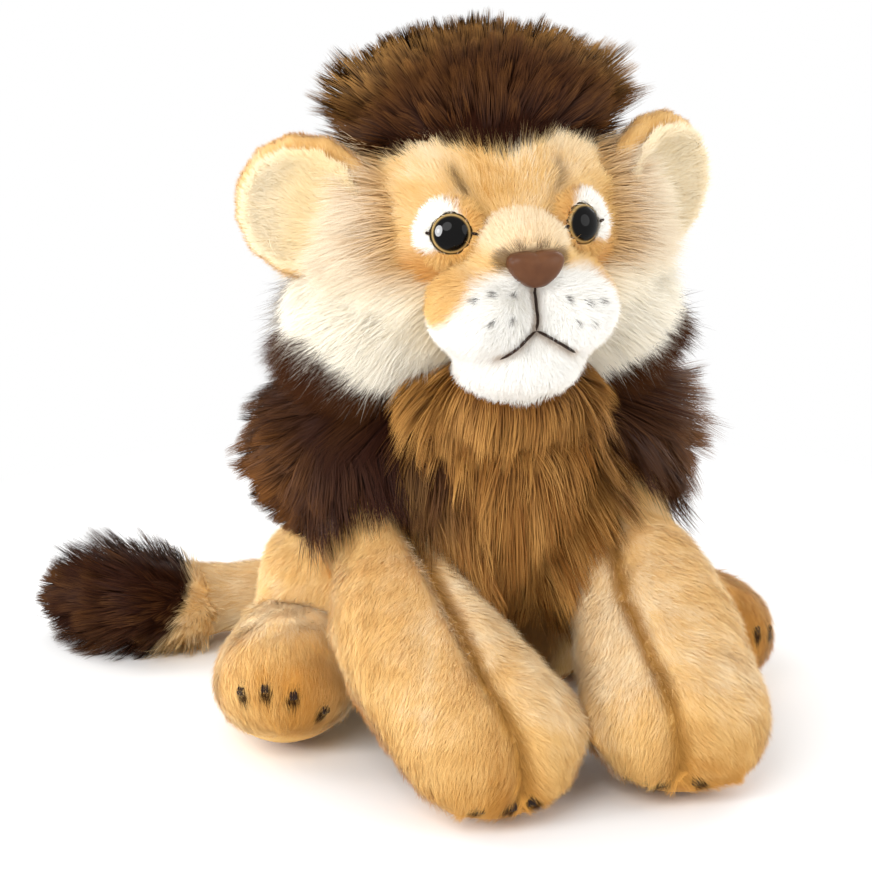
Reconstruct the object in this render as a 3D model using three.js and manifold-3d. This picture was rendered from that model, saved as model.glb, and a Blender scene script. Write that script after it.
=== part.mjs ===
// A lion hand puppet in long and short plush, sitting on a flat seat.
// Millimetres, +Z up. The lion faces -Y, its own left side is +X,
// and the origin lies under the seat.
// A hand goes in through the hemmed mouth in the back. The first finger works the head,
// and the thumb and middle finger work the forelegs.
import * as THREE from "three";
import { mergeVertices } from "three/addons/utils/BufferGeometryUtils.js";
import Module from "manifold-3d";

const wasm = await Module();
wasm.setup();

// Cloth and gaps
const clearance = 0.4; // between neighbouring pieces
const plush = 3.5; // backing cloth with its flattened pile
const lining = 1.2; // woven lining of the hand pocket
const ballGap = 2; // round a ball that turns in its socket
const hipGap = 0.9; // between a hind leg and the haunch that it swings on
const passingGap = 6.8; // between a hind leg and the foreleg that spreads towards it
const flattened = 0.5; // how far a stuffed form sinks on the surface that it stands on

// Facets of the round forms
const SKIN = { sides: 14, rings: 9 };
const HIP = { sides: 18, rings: 8 };
const BALL = { sides: 12, rings: 8 };
const SOCKET = { sides: 10, rings: 7 };
const SMALL = { sides: 12, rings: 7 };
const INNER = { sides: 8, rings: 6 };
const EAR = { sides: 12, rings: 6 };
const LIMB = { sides: 12, rings: 5, domes: 3 };
const LIMB_INNER = { sides: 8, rings: 2, domes: 2 };

// Torso: a chest over a belly that spreads into the haunches
const seatThickness = 3;
const chestY = -5;
const chestHeight = 80;
const chestHalfWidth = 48;
const chestHalfDepth = 39;
const chestHalfHeight = 44;
const bellyY = 9;
const bellyHeight = 38;
const bellyHalfWidth = 76;
const bellyRadius = 47;

// Hand pocket and its mouth in the back
const palmY = 2;
const palmHeight = 64;
const palmHalfWidth = 40;
const palmHalfDepth = 31;
const palmHalfHeight = 43;
const mouthHeight = 65;
const mouthHalfWidth = 32;
const mouthHalfHeight = 23;
const mouthStart = 12; // Y at which the mouth leaves the palm
const mouthLength = 2 * bellyRadius; // from there to well outside the back
const hemWidth = 4;
const hemProud = 1.2;

// Neck: a ball shared by the chest and the head
const neckY = -4;
const neckHeight = 121;
const neckRadius = 24;
const neckBore = 13;
const neckHalfHeight = 15;

// Head
const skullY = -11;
const skullHeight = 168;
const skullHalfWidth = 54;
const skullHalfDepth = 41;
const skullHalfHeight = 45;
const headPocketRadius = 12;
const headPocketDepth = 66; // from the neck's centre to the fingertip

// Face, measured from the skull's centre
const padOut = 14;
const padForward = 43;
const padDrop = 15;
const padHalfWidth = 19;
const padHalfDepth = 22;
const padHalfHeight = 18;
const chinForward = 41;
const chinDrop = 31;
const chinHalfWidth = 24;
const chinHalfDepth = 22;
const chinHalfHeight = 15;
const bridgeForward = 38;
const bridgeRise = 3;
const bridgeHalfWidth = 18;
const bridgeHalfDepth = 20;
const bridgeHalfHeight = 15;
const noseForward = 55;
const noseRise = 3;
const noseWidth = 20;
const noseHeight = 11;
const noseDepth = 5;
const noseBevel = noseDepth / 3;
const noseTaper = 0.2; // share of the half height at which its sides turn in
const noseTilt = 9; // degrees that the nose looks up
const noseWasherDepth = 5; // behind the nose's back
const eyeTurn = 25; // degrees from straight ahead
const eyeLift = 13; // degrees above the skull's middle
const eyeRadius = 7;
const eyeDome = 4.6;
const eyeRim = 0.6;
const patchThickness = 2.2;
const patchRadius = 11.5;
const patchTopRadius = 8;
const postRadius = 2;
const postLength = 11;
const washerRadius = 6;
const washerThickness = 1.6;
const cheekOut = 42;
const cheekForward = 3;
const cheekDrop = 25;
const cheekHalfWidth = 27;
const cheekHalfDepth = 27;
const cheekHalfHeight = 25;

// Ears
const earOut = 61;
const earForward = 2;
const earRise = 14;
const earTurn = 30; // degrees that the cup looks outwards
const earLean = 12; // degrees that the ear's tip leans outwards
const earRadius = 25;
const earThickness = 9;
const earRim = 5;
const earDishForward = 5.4; // of the dish's middle, before the cup's
const earHollowForward = 9.9; // of the hollow's middle

// Mane, in long pile
const crestBack = 4;
const crestRise = 44;
const crestHalfWidth = 52;
const crestHalfDepth = 25;
const crestHalfHeight = 28;
const napeBack = 22;
const napeDrop = 4;
const napeHalfWidth = 50;
const napeHalfDepth = 34;
const napeHalfHeight = 50;
const ruffForward = 22;
const ruffHeight = 118;
const ruffHalfWidth = 37;
const ruffHalfDepth = 30;
const ruffHalfHeight = 17;
const bibForward = 33;
const bibHeight = 86;
const bibHalfWidth = 41;
const bibHalfDepth = 27;
const bibHalfHeight = 44;
const collarOut = 40;
const collarY = 2;
const collarHeight = 92;
const collarHalfWidth = 40;
const collarHalfDepth = 43;
const collarHalfHeight = 35;
const capeBack = 22;
const capeHeight = 106;
const capeHalfWidth = 46;
const capeHalfDepth = 33;
const capeHalfHeight = 24;

// Forelegs: a shoulder ball, a shaft and a paw
const shoulderOut = 41;
const shoulderForward = 28;
const shoulderHeight = 70;
const shoulderRadius = 24;
const armpitRadius = 17.5; // of the shaft where it leaves the shoulder
const elbowOut = 42;
const elbowForward = 65;
const elbowHeight = 49;
const elbowHalfWidth = 30;
const elbowHalfHeight = 22.5;
const pawOut = 32;
const pawLean = 6; // of both paws towards the lion's left
const pawForward = 104;
const pawHalfWidth = 33.5;
const pawHalfHeight = 24;
const fingerRadius = 9.5;
const fingerReach = 62; // Y distance in front of the seat's centre at which the fingertip stops
const fingerDrop = 22; // how far the fingertip lies under the shoulder
const fingerStartOut = 28;
const fingerStartY = -5;
const fingerStartRise = 4; // above the shoulder's centre

// Hind legs
const hipOut = 58;
const hipY = 6;
const hipHalfHeight = 22;
const footOut = 77;
const footForward = 34;
const footHalfWidth = 27;
const footHalfHeight = 23;

// Tail, lying beside the haunch on the lion's right
const tailRootY = 48;
const tailRootHeight = 21;
const tailRootRadius = 15;
const tailRootDepth = 9; // from the root's centre to its open end inside the torso
const tailRadius = 14;
const tailLift = 1; // of the lying tail above the floor
const tailReach = 97; // sideways from the root to the end of the tan tail
const tailSweep = 22; // how far the tail's end lies behind its root
const tailBendReach = 24; // sideways from the root to the bend behind the belly
const tailBendSweep = 18;
const tuftRootRadius = 18;
const tuftRadius = 23;
const tuftTipRadius = 17;
const tuftOverlap = 5.6; // from the tuft's start back over the tail's end
const tuftSwell = 22; // from the tuft's start to its widest section
const tuftLength = 38; // from its start to the section where its tip closes
const tuftTurn = 24; // degrees that the tuft points backwards from the tail
const tuftLift = 3; // degrees that it rises

const TAN = 0xd2a468;
const CREAM = 0xf0dfc0;
const WHITE = 0xf7f4ee;
const DARK_BROWN = 0x3b2113;
const BROWN = 0x6b4522;
const LINING = 0xb89468;
const FILLING = 0xf4f2ec;
const NOSE = 0x5a3524;
const BLACK = 0x120d0a;
const NYLON = 0xe8e4da;

const CLOTH_ROUGHNESS = 0.95;
const EYE_ROUGHNESS = 0.1;
const NOSE_ROUGHNESS = 0.45;
const NYLON_ROUGHNESS = 0.5;

const X_AXIS = new THREE.Vector3(1, 0, 0);
const Y_AXIS = new THREE.Vector3(0, 1, 0);
const Z_AXIS = new THREE.Vector3(0, 0, 1);
const at = (x, y, z) => new THREE.Vector3(x, y, z);
const FAR = 500;
const WELD = 1e-4; // vertices nearer than this are one
const radians = THREE.MathUtils.degToRad;

// A closed geometry as a solid that can be joined and cut.
function solid(geometry) {
  const bare = geometry.clone();
  bare.deleteAttribute("normal");
  bare.deleteAttribute("uv");
  const merged = mergeVertices(bare, WELD);
  const vertProperties = merged.attributes.position.array;
  const triVerts = new Uint32Array(merged.index.array);
  return new wasm.Manifold(new wasm.Mesh({ numProp: 3, vertProperties, triVerts }));
}

// The largest body of a solid: a cut can leave crumbs beside it.
function mainBody(cut) {
  const larger = (one, other) => (one.volume() > other.volume() ? one : other);
  return cut.decompose().reduce(larger);
}

function joined(...solids) {
  return solids.reduce((sum, one) => sum.add(one));
}

function cutBy(piece, ...tools) {
  return mainBody(tools.reduce((rest, tool) => rest.subtract(tool), piece));
}

// The poles of an ellipsoid lie along Y, or along X where it turns about that axis.
function ellipsoid(centre, halfX, halfY, halfZ, facets = SMALL, polesAlongX = false) {
  const unit = new THREE.SphereGeometry(1, facets.sides, facets.rings);
  if (polesAlongX) unit.rotateZ(Math.PI / 2);
  unit.scale(halfX, halfY, halfZ);
  unit.translate(centre.x, centre.y, centre.z);
  return solid(unit);
}

function ball(centre, radius, facets = BALL) {
  return ellipsoid(centre, radius, radius, radius, facets);
}

function box(low, high) {
  const block = new THREE.BoxGeometry(high.x - low.x, high.y - low.y, high.z - low.z);
  block.translate((low.x + high.x) / 2, (low.y + high.y) / 2, (low.z + high.z) / 2);
  return solid(block);
}

const below = (height) => box(at(-FAR, -FAR, -FAR), at(FAR, FAR, height));
const above = (height) => box(at(-FAR, -FAR, height), at(FAR, FAR, FAR));
const inFrontOf = (y) => box(at(-FAR, -FAR, -FAR), at(FAR, y, FAR));

// A solid of revolution about the line from a point along a direction.
// Its half profile is a list of [radius, along].
function turned(profile, origin, direction, around = SMALL.sides) {
  const points = profile.map(([radius, along]) => new THREE.Vector2(radius, along));
  const lathe = new THREE.LatheGeometry(points, around);
  const unit = direction.clone().normalize();
  lathe.applyQuaternion(new THREE.Quaternion().setFromUnitVectors(Y_AXIS, unit));
  lathe.translate(origin.x, origin.y, origin.z);
  return solid(lathe);
}

// A stuffed limb: oval sections along a smooth spine, closed by a dome at each end.
// Each stop is { at, wide, high }, with the width measured along the side axis.
function limb(stops, { grow = 0, side = X_AXIS, facets = LIMB } = {}) {
  const { sides: around, rings, domes: domeRings } = facets;
  const spine = new THREE.CatmullRomCurve3(stops.map((stop) => stop.at));
  const halves = stops.map((stop) => at(stop.wide + grow, stop.high + grow, 0));
  const sizes = new THREE.CatmullRomCurve3(halves);
  const sections = [];
  for (let i = 0; i <= rings; i++) {
    const t = i / rings;
    const size = sizes.getPoint(t);
    sections.push({ at: spine.getPoint(t), along: spine.getTangent(t), wide: size.x, high: size.y });
  }
  const dome = (end, sign) =>
    Array.from({ length: domeRings }, (_, i) => {
      const angle = ((i + 1) / domeRings) * (Math.PI / 2);
      const depth = (sign * Math.sin(angle) * (end.wide + end.high)) / 2;
      return {
        at: end.at.clone().addScaledVector(end.along, depth),
        along: end.along,
        wide: end.wide * Math.cos(angle),
        high: end.high * Math.cos(angle),
      };
    });
  const all = [...dome(sections[0], -1).reverse(), ...sections, ...dome(sections[rings], 1)];
  const positions = [];
  for (const section of all) {
    const across = side.clone().addScaledVector(section.along, -side.dot(section.along)).normalize();
    const up = new THREE.Vector3().crossVectors(across, section.along);
    for (let j = 0; j < around; j++) {
      const angle = (j / around) * 2 * Math.PI;
      const point = section.at.clone();
      point.addScaledVector(across, section.wide * Math.cos(angle));
      point.addScaledVector(up, section.high * Math.sin(angle));
      positions.push(point.x, point.y, point.z);
    }
  }
  const index = [];
  for (let i = 0; i + 1 < all.length; i++) {
    for (let j = 0; j < around; j++) {
      const next = (j + 1) % around;
      const [a, b] = [i * around + j, i * around + next];
      const [c, d] = [a + around, b + around];
      // The first and last rings have shrunk to a point.
      if (i > 0) index.push(a, c, b);
      if (i + 2 < all.length) index.push(b, c, d);
    }
  }
  const geometry = new THREE.BufferGeometry();
  geometry.setAttribute("position", new THREE.Float32BufferAttribute(positions, 3));
  geometry.setIndex(index);
  return solid(geometry);
}

const puppet = new THREE.Group();
const torso = new THREE.Group();
const neck = new THREE.Group();
const head = new THREE.Group();
const tail = new THREE.Group();
puppet.add(torso);
torso.add(neck, tail);
neck.add(head);

function addPiece(group, name, shape, color, roughness = CLOTH_ROUGHNESS) {
  const made = mainBody(shape).getMesh();
  const geometry = new THREE.BufferGeometry();
  geometry.setAttribute("position", new THREE.BufferAttribute(made.vertProperties, made.numProp));
  geometry.setIndex(new THREE.BufferAttribute(made.triVerts, 1));
  const mesh = new THREE.Mesh(geometry, new THREE.MeshStandardMaterial({ color, roughness }));
  mesh.name = name;
  group.add(mesh);
}

const SIDES = [
  { name: "left", sign: 1 },
  { name: "right", sign: -1 },
];

// Forms that several pieces are cut by. Each takes how far it is grown.

const hipAxis = at(0, bellyY, bellyHeight);

function torsoForm(grow = 0, chestFacets = SKIN, hipFacets = HIP) {
  const chest = ellipsoid(
    at(0, chestY, chestHeight),
    chestHalfWidth + grow,
    chestHalfDepth + grow,
    chestHalfHeight + grow,
    chestFacets,
  );
  // The belly is round about the hips' axis, so that the hind legs swing on it.
  const belly = ellipsoid(
    hipAxis,
    bellyHalfWidth + grow,
    bellyRadius + grow,
    bellyRadius + grow,
    hipFacets,
    true,
  );
  return joined(chest, belly).subtract(below(-Math.max(grow, 0)));
}

function mouthForm(grow = 0) {
  const tunnel = new THREE.CylinderGeometry(1, 1, mouthLength, SKIN.sides);
  tunnel.scale(mouthHalfWidth + grow, 1, mouthHalfHeight + grow);
  tunnel.translate(0, mouthStart + mouthLength / 2, mouthHeight);
  return solid(tunnel);
}

function palmForm(grow = 0) {
  const hollow = ellipsoid(
    at(0, palmY, palmHeight),
    palmHalfWidth + grow,
    palmHalfDepth + grow,
    palmHalfHeight + grow,
  );
  return hollow.add(mouthForm(grow));
}

const neckCentre = at(0, neckY, neckHeight);
const neckSocket = () => ball(neckCentre, neckRadius + ballGap, SOCKET);

const skullCentre = at(0, skullY, skullHeight);
const fromSkull = (out, forward, rise) => at(out, skullY - forward, skullHeight + rise);

function skullForm(grow = 0, facets = SKIN) {
  return ellipsoid(
    skullCentre,
    skullHalfWidth + grow,
    skullHalfDepth + grow,
    skullHalfHeight + grow,
    facets,
  );
}

function headPocketForm(grow = 0) {
  const tip = headPocketDepth + grow;
  const radius = headPocketRadius + grow;
  const domeSteps = 3;
  const dome = Array.from({ length: domeSteps + 1 }, (_, i) => {
    const angle = (i / domeSteps) * (Math.PI / 2);
    return [radius * Math.cos(angle), tip - radius + radius * Math.sin(angle)];
  });
  dome[domeSteps][0] = 0;
  return turned([[0, 0], [radius, 0], ...dome], neckCentre, Z_AXIS);
}

const shoulderAt = (sign) => at(sign * shoulderOut, -shoulderForward, shoulderHeight);
const shoulderBall = (sign, grow = 0, facets = BALL) =>
  ball(shoulderAt(sign), shoulderRadius + grow, facets);

// The paws press flat against each other where they meet.
function pawSide(sign, grow) {
  const edge = pawLean + sign * (clearance / 2 - grow);
  const [from, to] = sign > 0 ? [edge, FAR] : [-FAR, edge];
  return box(at(from, -FAR, -FAR), at(to, FAR, FAR));
}

function forelegForm(sign, grow = 0, facets = LIMB, ballFacets = BALL) {
  const stops = [
    { at: shoulderAt(sign), wide: armpitRadius, high: armpitRadius },
    {
      at: at(sign * elbowOut, -elbowForward, elbowHeight),
      wide: elbowHalfWidth,
      high: elbowHalfHeight,
    },
    {
      at: at(sign * pawOut + pawLean, -pawForward, pawHalfHeight - flattened),
      wide: pawHalfWidth,
      high: pawHalfHeight,
    },
  ];
  const whole = limb(stops, { grow, facets }).add(shoulderBall(sign, grow, ballFacets));
  return whole.intersect(pawSide(sign, grow));
}

// The finger's way from the palm through the shoulder into the leg.
function fingerForm(sign, grow = 0) {
  const start = at(sign * fingerStartOut, fingerStartY, shoulderHeight + fingerStartRise);
  const tip = at(sign * elbowOut, -fingerReach, shoulderHeight - fingerDrop);
  const section = (point) => ({ at: point, wide: fingerRadius, high: fingerRadius });
  return limb([section(start), section(tip)], { grow, facets: LIMB_INNER });
}

function hindLegForm(sign, grow = 0, facets = LIMB) {
  const stops = [
    { at: at(sign * hipOut, hipY, footHalfHeight), wide: hipHalfHeight, high: hipHalfHeight },
    {
      at: at((sign * (hipOut + footOut)) / 2, (hipY - footForward) / 2, footHalfHeight),
      wide: footHalfWidth,
      high: footHalfHeight,
    },
    {
      at: at(sign * footOut, -footForward, footHalfHeight),
      wide: footHalfWidth,
      high: footHalfHeight,
    },
  ].map((stop) => ({ ...stop, at: stop.at.setZ(stop.at.z - flattened) }));
  return limb(stops, { grow, facets });
}

const tailRoot = at(0, tailRootY, tailRootHeight);
const tailRootBall = (grow = 0, facets = BALL) => ball(tailRoot, tailRootRadius + grow, facets);
const tailEnd = at(-tailReach, tailRootY + tailSweep, tailRadius + tailLift);

function tailForm(grow = 0, facets = LIMB, ballFacets = BALL) {
  const stops = [
    { at: tailRoot, wide: tailRadius, high: tailRadius },
    {
      at: at(-tailBendReach, tailRootY + tailBendSweep, tailEnd.z),
      wide: tailRadius,
      high: tailRadius,
    },
    { at: tailEnd, wide: tailRadius, high: tailRadius },
  ];
  const length = limb(stops, { grow, side: Z_AXIS, facets });
  return length.subtract(torsoForm(clearance - grow)).add(tailRootBall(grow, ballFacets));
}

// Torso

const raw = torsoForm();
const sockets = joined(
  neckSocket(),
  tailRootBall(ballGap, SOCKET),
  ...SIDES.map(({ sign }) => shoulderBall(sign, ballGap, SOCKET)),
);

const seatPanel = raw.subtract(above(seatThickness));
addPiece(torso, "seat_panel", seatPanel, TAN);

const torsoSkin = cutBy(
  raw,
  below(seatThickness + clearance),
  torsoForm(-plush, INNER, INNER),
  palmForm(clearance),
  mouthForm(hemWidth + clearance),
  sockets,
);
addPiece(torso, "torso_skin", torsoSkin, TAN);

const torsoStuffing = cutBy(
  torsoForm(-plush - clearance, INNER, INNER),
  below(seatThickness + clearance),
  palmForm(clearance),
  mouthForm(hemWidth + clearance),
  sockets,
);
addPiece(torso, "torso_stuffing", torsoStuffing, FILLING);

const palmLining = cutBy(palmForm().intersect(torsoForm()), palmForm(-lining), sockets);
addPiece(torso, "palm_lining", palmLining, LINING);

const hemBand = torsoForm(hemProud).subtract(torsoForm(-plush, INNER, INNER));
const openingHem = cutBy(mouthForm(hemWidth).intersect(hemBand), palmForm(clearance));
addPiece(torso, "opening_hem", openingHem, LINING);

// Neck

const neckArcSteps = 6;
const neckArc = Array.from({ length: neckArcSteps + 1 }, (_, i) => {
  const height = -neckHalfHeight + (2 * neckHalfHeight * i) / neckArcSteps;
  return [Math.sqrt(neckRadius ** 2 - height ** 2), height];
});
const neckProfile = [
  [neckBore, -neckHalfHeight],
  ...neckArc,
  [neckBore, neckHalfHeight],
  [neckBore, -neckHalfHeight],
];
addPiece(neck, "neck_sleeve", turned(neckProfile, neckCentre, Z_AXIS, HIP.sides), LINING);

// Eyes: a domed cap with a post through the skin, held by a washer behind it

function eyeFrame(sign) {
  const turn = radians(sign * eyeTurn);
  const lift = radians(eyeLift);
  const level = Math.cos(lift);
  const onSphere = at(Math.sin(turn) * level, -Math.cos(turn) * level, Math.sin(lift));
  const half = at(skullHalfWidth, skullHalfDepth, skullHalfHeight);
  const normal = onSphere.clone().divide(half).normalize();
  return { place: skullCentre.clone().add(onSphere.multiply(half)), normal };
}

function eyeForm({ place, normal }, grow = 0) {
  const domeSteps = 4;
  const flat = -eyeRim - grow;
  const end = -postLength - grow;
  const dome = Array.from({ length: domeSteps + 1 }, (_, i) => {
    const angle = (i / domeSteps) * (Math.PI / 2);
    return [(eyeRadius + grow) * Math.cos(angle), (eyeDome + grow) * Math.sin(angle)];
  });
  dome[domeSteps][0] = 0;
  const post = postRadius + grow;
  return turned([[0, end], [post, end], [post, flat], [eyeRadius + grow, flat], ...dome], place, normal);
}

function washerForm({ place, normal }, depth, grow = 0) {
  const inner = postRadius + clearance - grow;
  const outer = washerRadius + grow;
  const [near, far] = [-depth + grow, -depth - washerThickness - grow];
  const profile = [[inner, far], [outer, far], [outer, near], [inner, near], [inner, far]];
  return turned(profile, place, normal);
}

const eyes = SIDES.map(({ name, sign }) => ({ name, ...eyeFrame(sign) }));
const washerDepth = plush + clearance;
const eyeCuts = joined(...eyes.map((eye) => eyeForm(eye, clearance)));
const washerCuts = joined(...eyes.map((eye) => washerForm(eye, washerDepth, clearance)));

// A round patch of white plush lies on the skull about each eye.
function patchForm({ place, normal }, grow = 0) {
  const radius = patchRadius + grow;
  const top = patchThickness + grow;
  const inside = -patchRadius;
  const profile = [[0, inside], [radius, inside], [radius, 0], [patchTopRadius + grow, top], [0, top]];
  return turned(profile, place, normal);
}

// Head

const headSkin = cutBy(skullForm(), skullForm(-plush, INNER), neckSocket(), eyeCuts, washerCuts);
addPiece(head, "head_skin", headSkin, TAN);

const headStuffing = cutBy(
  skullForm(-plush - clearance, INNER),
  neckSocket(),
  headPocketForm(clearance),
  eyeCuts,
  washerCuts,
);
addPiece(head, "head_stuffing", headStuffing, FILLING);

const headPocket = cutBy(headPocketForm(), headPocketForm(-lining), neckSocket());
addPiece(head, "head_finger_pocket", headPocket, LINING);

for (const eye of eyes) {
  addPiece(head, `${eye.name}_eye`, eyeForm(eye), BLACK, EYE_ROUGHNESS);
  addPiece(head, `${eye.name}_eye_washer`, washerForm(eye, washerDepth), NYLON, NYLON_ROUGHNESS);
  addPiece(head, `${eye.name}_eye_patch`, cutBy(patchForm(eye), skullForm(clearance), eyeCuts), WHITE);
}

// Muzzle: two whisker pads, the chin under them and the bridge over them

const patchCuts = joined(...eyes.map((eye) => patchForm(eye, clearance)));

function padForm(sign, grow = 0) {
  const centre = fromSkull(sign * padOut, padForward, -padDrop);
  const whole = ellipsoid(centre, padHalfWidth + grow, padHalfDepth + grow, padHalfHeight + grow);
  const edge = sign * (clearance / 2 - grow);
  const side = sign > 0 ? [at(edge, -FAR, 0), at(FAR, FAR, FAR)] : [at(-FAR, -FAR, 0), at(edge, FAR, FAR)];
  return whole.intersect(box(...side));
}

const padsForm = (grow = 0) => joined(...SIDES.map(({ sign }) => padForm(sign, grow)));
const chinForm = (grow = 0) =>
  ellipsoid(
    fromSkull(0, chinForward, -chinDrop),
    chinHalfWidth + grow,
    chinHalfDepth + grow,
    chinHalfHeight + grow,
  );
const bridgeForm = (grow = 0) =>
  ellipsoid(
    fromSkull(0, bridgeForward, bridgeRise),
    bridgeHalfWidth + grow,
    bridgeHalfDepth + grow,
    bridgeHalfHeight + grow,
  );
const muzzleForm = (grow = 0) => joined(padsForm(grow), chinForm(grow), bridgeForm(grow));

// The nose is a rounded triangle with a post, held by a washer inside the muzzle.
const noseFrame = {
  place: fromSkull(0, noseForward, noseRise),
  normal: at(0, -Math.cos(radians(noseTilt)), Math.sin(radians(noseTilt))),
};

function noseForm(grow = 0) {
  const half = noseWidth / 2 + grow;
  const top = noseHeight / 2 + grow;
  const outline = new THREE.Shape();
  outline.moveTo(-half + noseBevel, top - noseBevel);
  outline.quadraticCurveTo(0, top, half - noseBevel, top - noseBevel);
  outline.quadraticCurveTo(half - noseBevel, -top * noseTaper, 0, -top + noseBevel);
  outline.quadraticCurveTo(-half + noseBevel, -top * noseTaper, -half + noseBevel, top - noseBevel);
  const plate = new THREE.ExtrudeGeometry(outline, {
    depth: noseDepth - 2 * noseBevel + 2 * grow,
    bevelThickness: noseBevel,
    bevelSize: noseBevel,
    bevelSegments: 2,
    curveSegments: 4,
  });
  plate.translate(0, 0, noseBevel - grow);
  const { place, normal } = noseFrame;
  const up = new THREE.Vector3().crossVectors(normal, X_AXIS);
  plate.applyMatrix4(new THREE.Matrix4().makeBasis(X_AXIS, up, normal));
  plate.translate(place.x, place.y, place.z);
  const radius = postRadius + grow;
  const [end, middle] = [-postLength - grow, noseDepth / 2];
  const post = turned([[0, end], [radius, end], [radius, middle], [0, middle]], place, normal);
  return solid(plate).add(post);
}

addPiece(head, "nose", noseForm(), NOSE, NOSE_ROUGHNESS);
addPiece(head, "nose_washer", washerForm(noseFrame, noseWasherDepth), NYLON, NYLON_ROUGHNESS);
const noseCuts = joined(noseForm(clearance), washerForm(noseFrame, noseWasherDepth, clearance));

const behindMuzzle = joined(skullForm(clearance), patchCuts, eyeCuts);
for (const { name, sign } of SIDES) {
  addPiece(head, `${name}_whisker_pad`, cutBy(padForm(sign), behindMuzzle, noseCuts), WHITE);
}
addPiece(head, "chin", cutBy(chinForm(), behindMuzzle, padsForm(clearance)), WHITE);
addPiece(
  head,
  "muzzle_bridge",
  cutBy(bridgeForm(), behindMuzzle, padsForm(clearance), chinForm(clearance), noseCuts),
  TAN,
);

// Ears: a tan cup with a cream dish sewn into it

function earShape(sign, radius, thickness, forward) {
  const disc = new THREE.SphereGeometry(1, EAR.sides, EAR.rings);
  disc.scale(radius, thickness, radius);
  disc.translate(0, -forward, 0);
  disc.rotateY(radians(sign * earLean));
  disc.rotateZ(radians(sign * earTurn));
  const place = fromSkull(sign * earOut, earForward, earRise);
  disc.translate(place.x, place.y, place.z);
  return solid(disc);
}

const earCup = (sign, grow = 0) => earShape(sign, earRadius + grow, earThickness + grow, 0);
const earDish = (sign, grow = 0) =>
  earShape(sign, earRadius - earRim + grow, earThickness + grow, earDishForward);
const earHollow = (sign) => earShape(sign, earRadius - earRim, earThickness, earHollowForward);
const earsForm = (grow = 0) =>
  joined(...SIDES.map(({ sign }) => earCup(sign, grow).add(earDish(sign, grow))));

for (const { name, sign } of SIDES) {
  const cup = cutBy(earCup(sign), skullForm(clearance), earDish(sign, clearance));
  addPiece(head, `${name}_ear_back`, cup, TAN);
  const dish = cutBy(earDish(sign), skullForm(clearance), earHollow(sign));
  addPiece(head, `${name}_ear_front`, dish, CREAM);
}

// Cheeks, in long cream plush

function cheekForm(sign, grow = 0) {
  const centre = fromSkull(sign * cheekOut, cheekForward, -cheekDrop);
  return ellipsoid(centre, cheekHalfWidth + grow, cheekHalfDepth + grow, cheekHalfHeight + grow);
}

const cheeksForm = (grow = 0) => joined(...SIDES.map(({ sign }) => cheekForm(sign, grow)));
const skullAndEars = joined(skullForm(clearance), earsForm(clearance), patchCuts, eyeCuts);
const face = joined(skullAndEars, muzzleForm(clearance));
for (const { name, sign } of SIDES) {
  addPiece(head, `${name}_cheek`, cutBy(cheekForm(sign), face, neckSocket()), CREAM);
}

// Mane on the head: the crest, the nape behind it and the ruff under the chin

const crestForm = (grow = 0) =>
  ellipsoid(
    fromSkull(0, -crestBack, crestRise),
    crestHalfWidth + grow,
    crestHalfDepth + grow,
    crestHalfHeight + grow,
  );
addPiece(head, "mane_crest", cutBy(crestForm(), skullAndEars), DARK_BROWN);

const napeForm = (grow = 0) =>
  ellipsoid(
    fromSkull(0, -napeBack, -napeDrop),
    napeHalfWidth + grow,
    napeHalfDepth + grow,
    napeHalfHeight + grow,
  );
const torsoKeepOut = joined(torsoForm(clearance), mouthForm(hemWidth + clearance));
const headKeepOut = joined(face, cheeksForm(clearance), neckSocket());
addPiece(
  head,
  "mane_nape",
  cutBy(napeForm(), headKeepOut, crestForm(clearance), torsoKeepOut, inFrontOf(skullY)),
  DARK_BROWN,
);

const ruffForm = (grow = 0) =>
  ellipsoid(
    at(0, skullY - ruffForward, ruffHeight),
    ruffHalfWidth + grow,
    ruffHalfDepth + grow,
    ruffHalfHeight + grow,
  );
addPiece(head, "throat_ruff", cutBy(ruffForm(), headKeepOut, torsoKeepOut), BROWN);

// Mane on the torso: the bib, a collar on each shoulder and a cape behind the neck

const forelegs = joined(...SIDES.map(({ sign }) => forelegForm(sign, clearance)));
const maneKeepOut = joined(torsoKeepOut, headKeepOut, forelegs, ruffForm(clearance), napeForm(clearance));

const bibForm = (grow = 0) =>
  ellipsoid(at(0, -bibForward, bibHeight), bibHalfWidth + grow, bibHalfDepth + grow, bibHalfHeight + grow);
addPiece(torso, "chest_bib", cutBy(bibForm(), maneKeepOut), BROWN);

const capeForm = (grow = 0) =>
  ellipsoid(at(0, capeBack, capeHeight), capeHalfWidth + grow, capeHalfDepth + grow, capeHalfHeight + grow);
addPiece(torso, "mane_cape", cutBy(capeForm(), maneKeepOut, bibForm(clearance)), DARK_BROWN);

for (const { name, sign } of SIDES) {
  const collar = ellipsoid(
    at(sign * collarOut, collarY, collarHeight),
    collarHalfWidth,
    collarHalfDepth,
    collarHalfHeight,
  );
  addPiece(
    torso,
    `${name}_collar`,
    cutBy(collar, maneKeepOut, bibForm(clearance), capeForm(clearance)),
    DARK_BROWN,
  );
}

// Forelegs

for (const { name, sign } of SIDES) {
  const foreleg = new THREE.Group();
  torso.add(foreleg);
  const floor = below(0);
  const inside = (grow) => forelegForm(sign, grow, LIMB_INNER, INNER);
  const skin = cutBy(forelegForm(sign), floor, inside(-plush), fingerForm(sign, clearance));
  addPiece(foreleg, `${name}_foreleg_skin`, skin, TAN);
  const stuffing = cutBy(inside(-plush - clearance), fingerForm(sign, clearance));
  addPiece(foreleg, `${name}_foreleg_stuffing`, stuffing, FILLING);
  const pocket = fingerForm(sign).intersect(forelegForm(sign)).subtract(fingerForm(sign, -lining));
  addPiece(foreleg, `${name}_finger_pocket`, pocket, LINING);
}

// Hind legs

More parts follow.
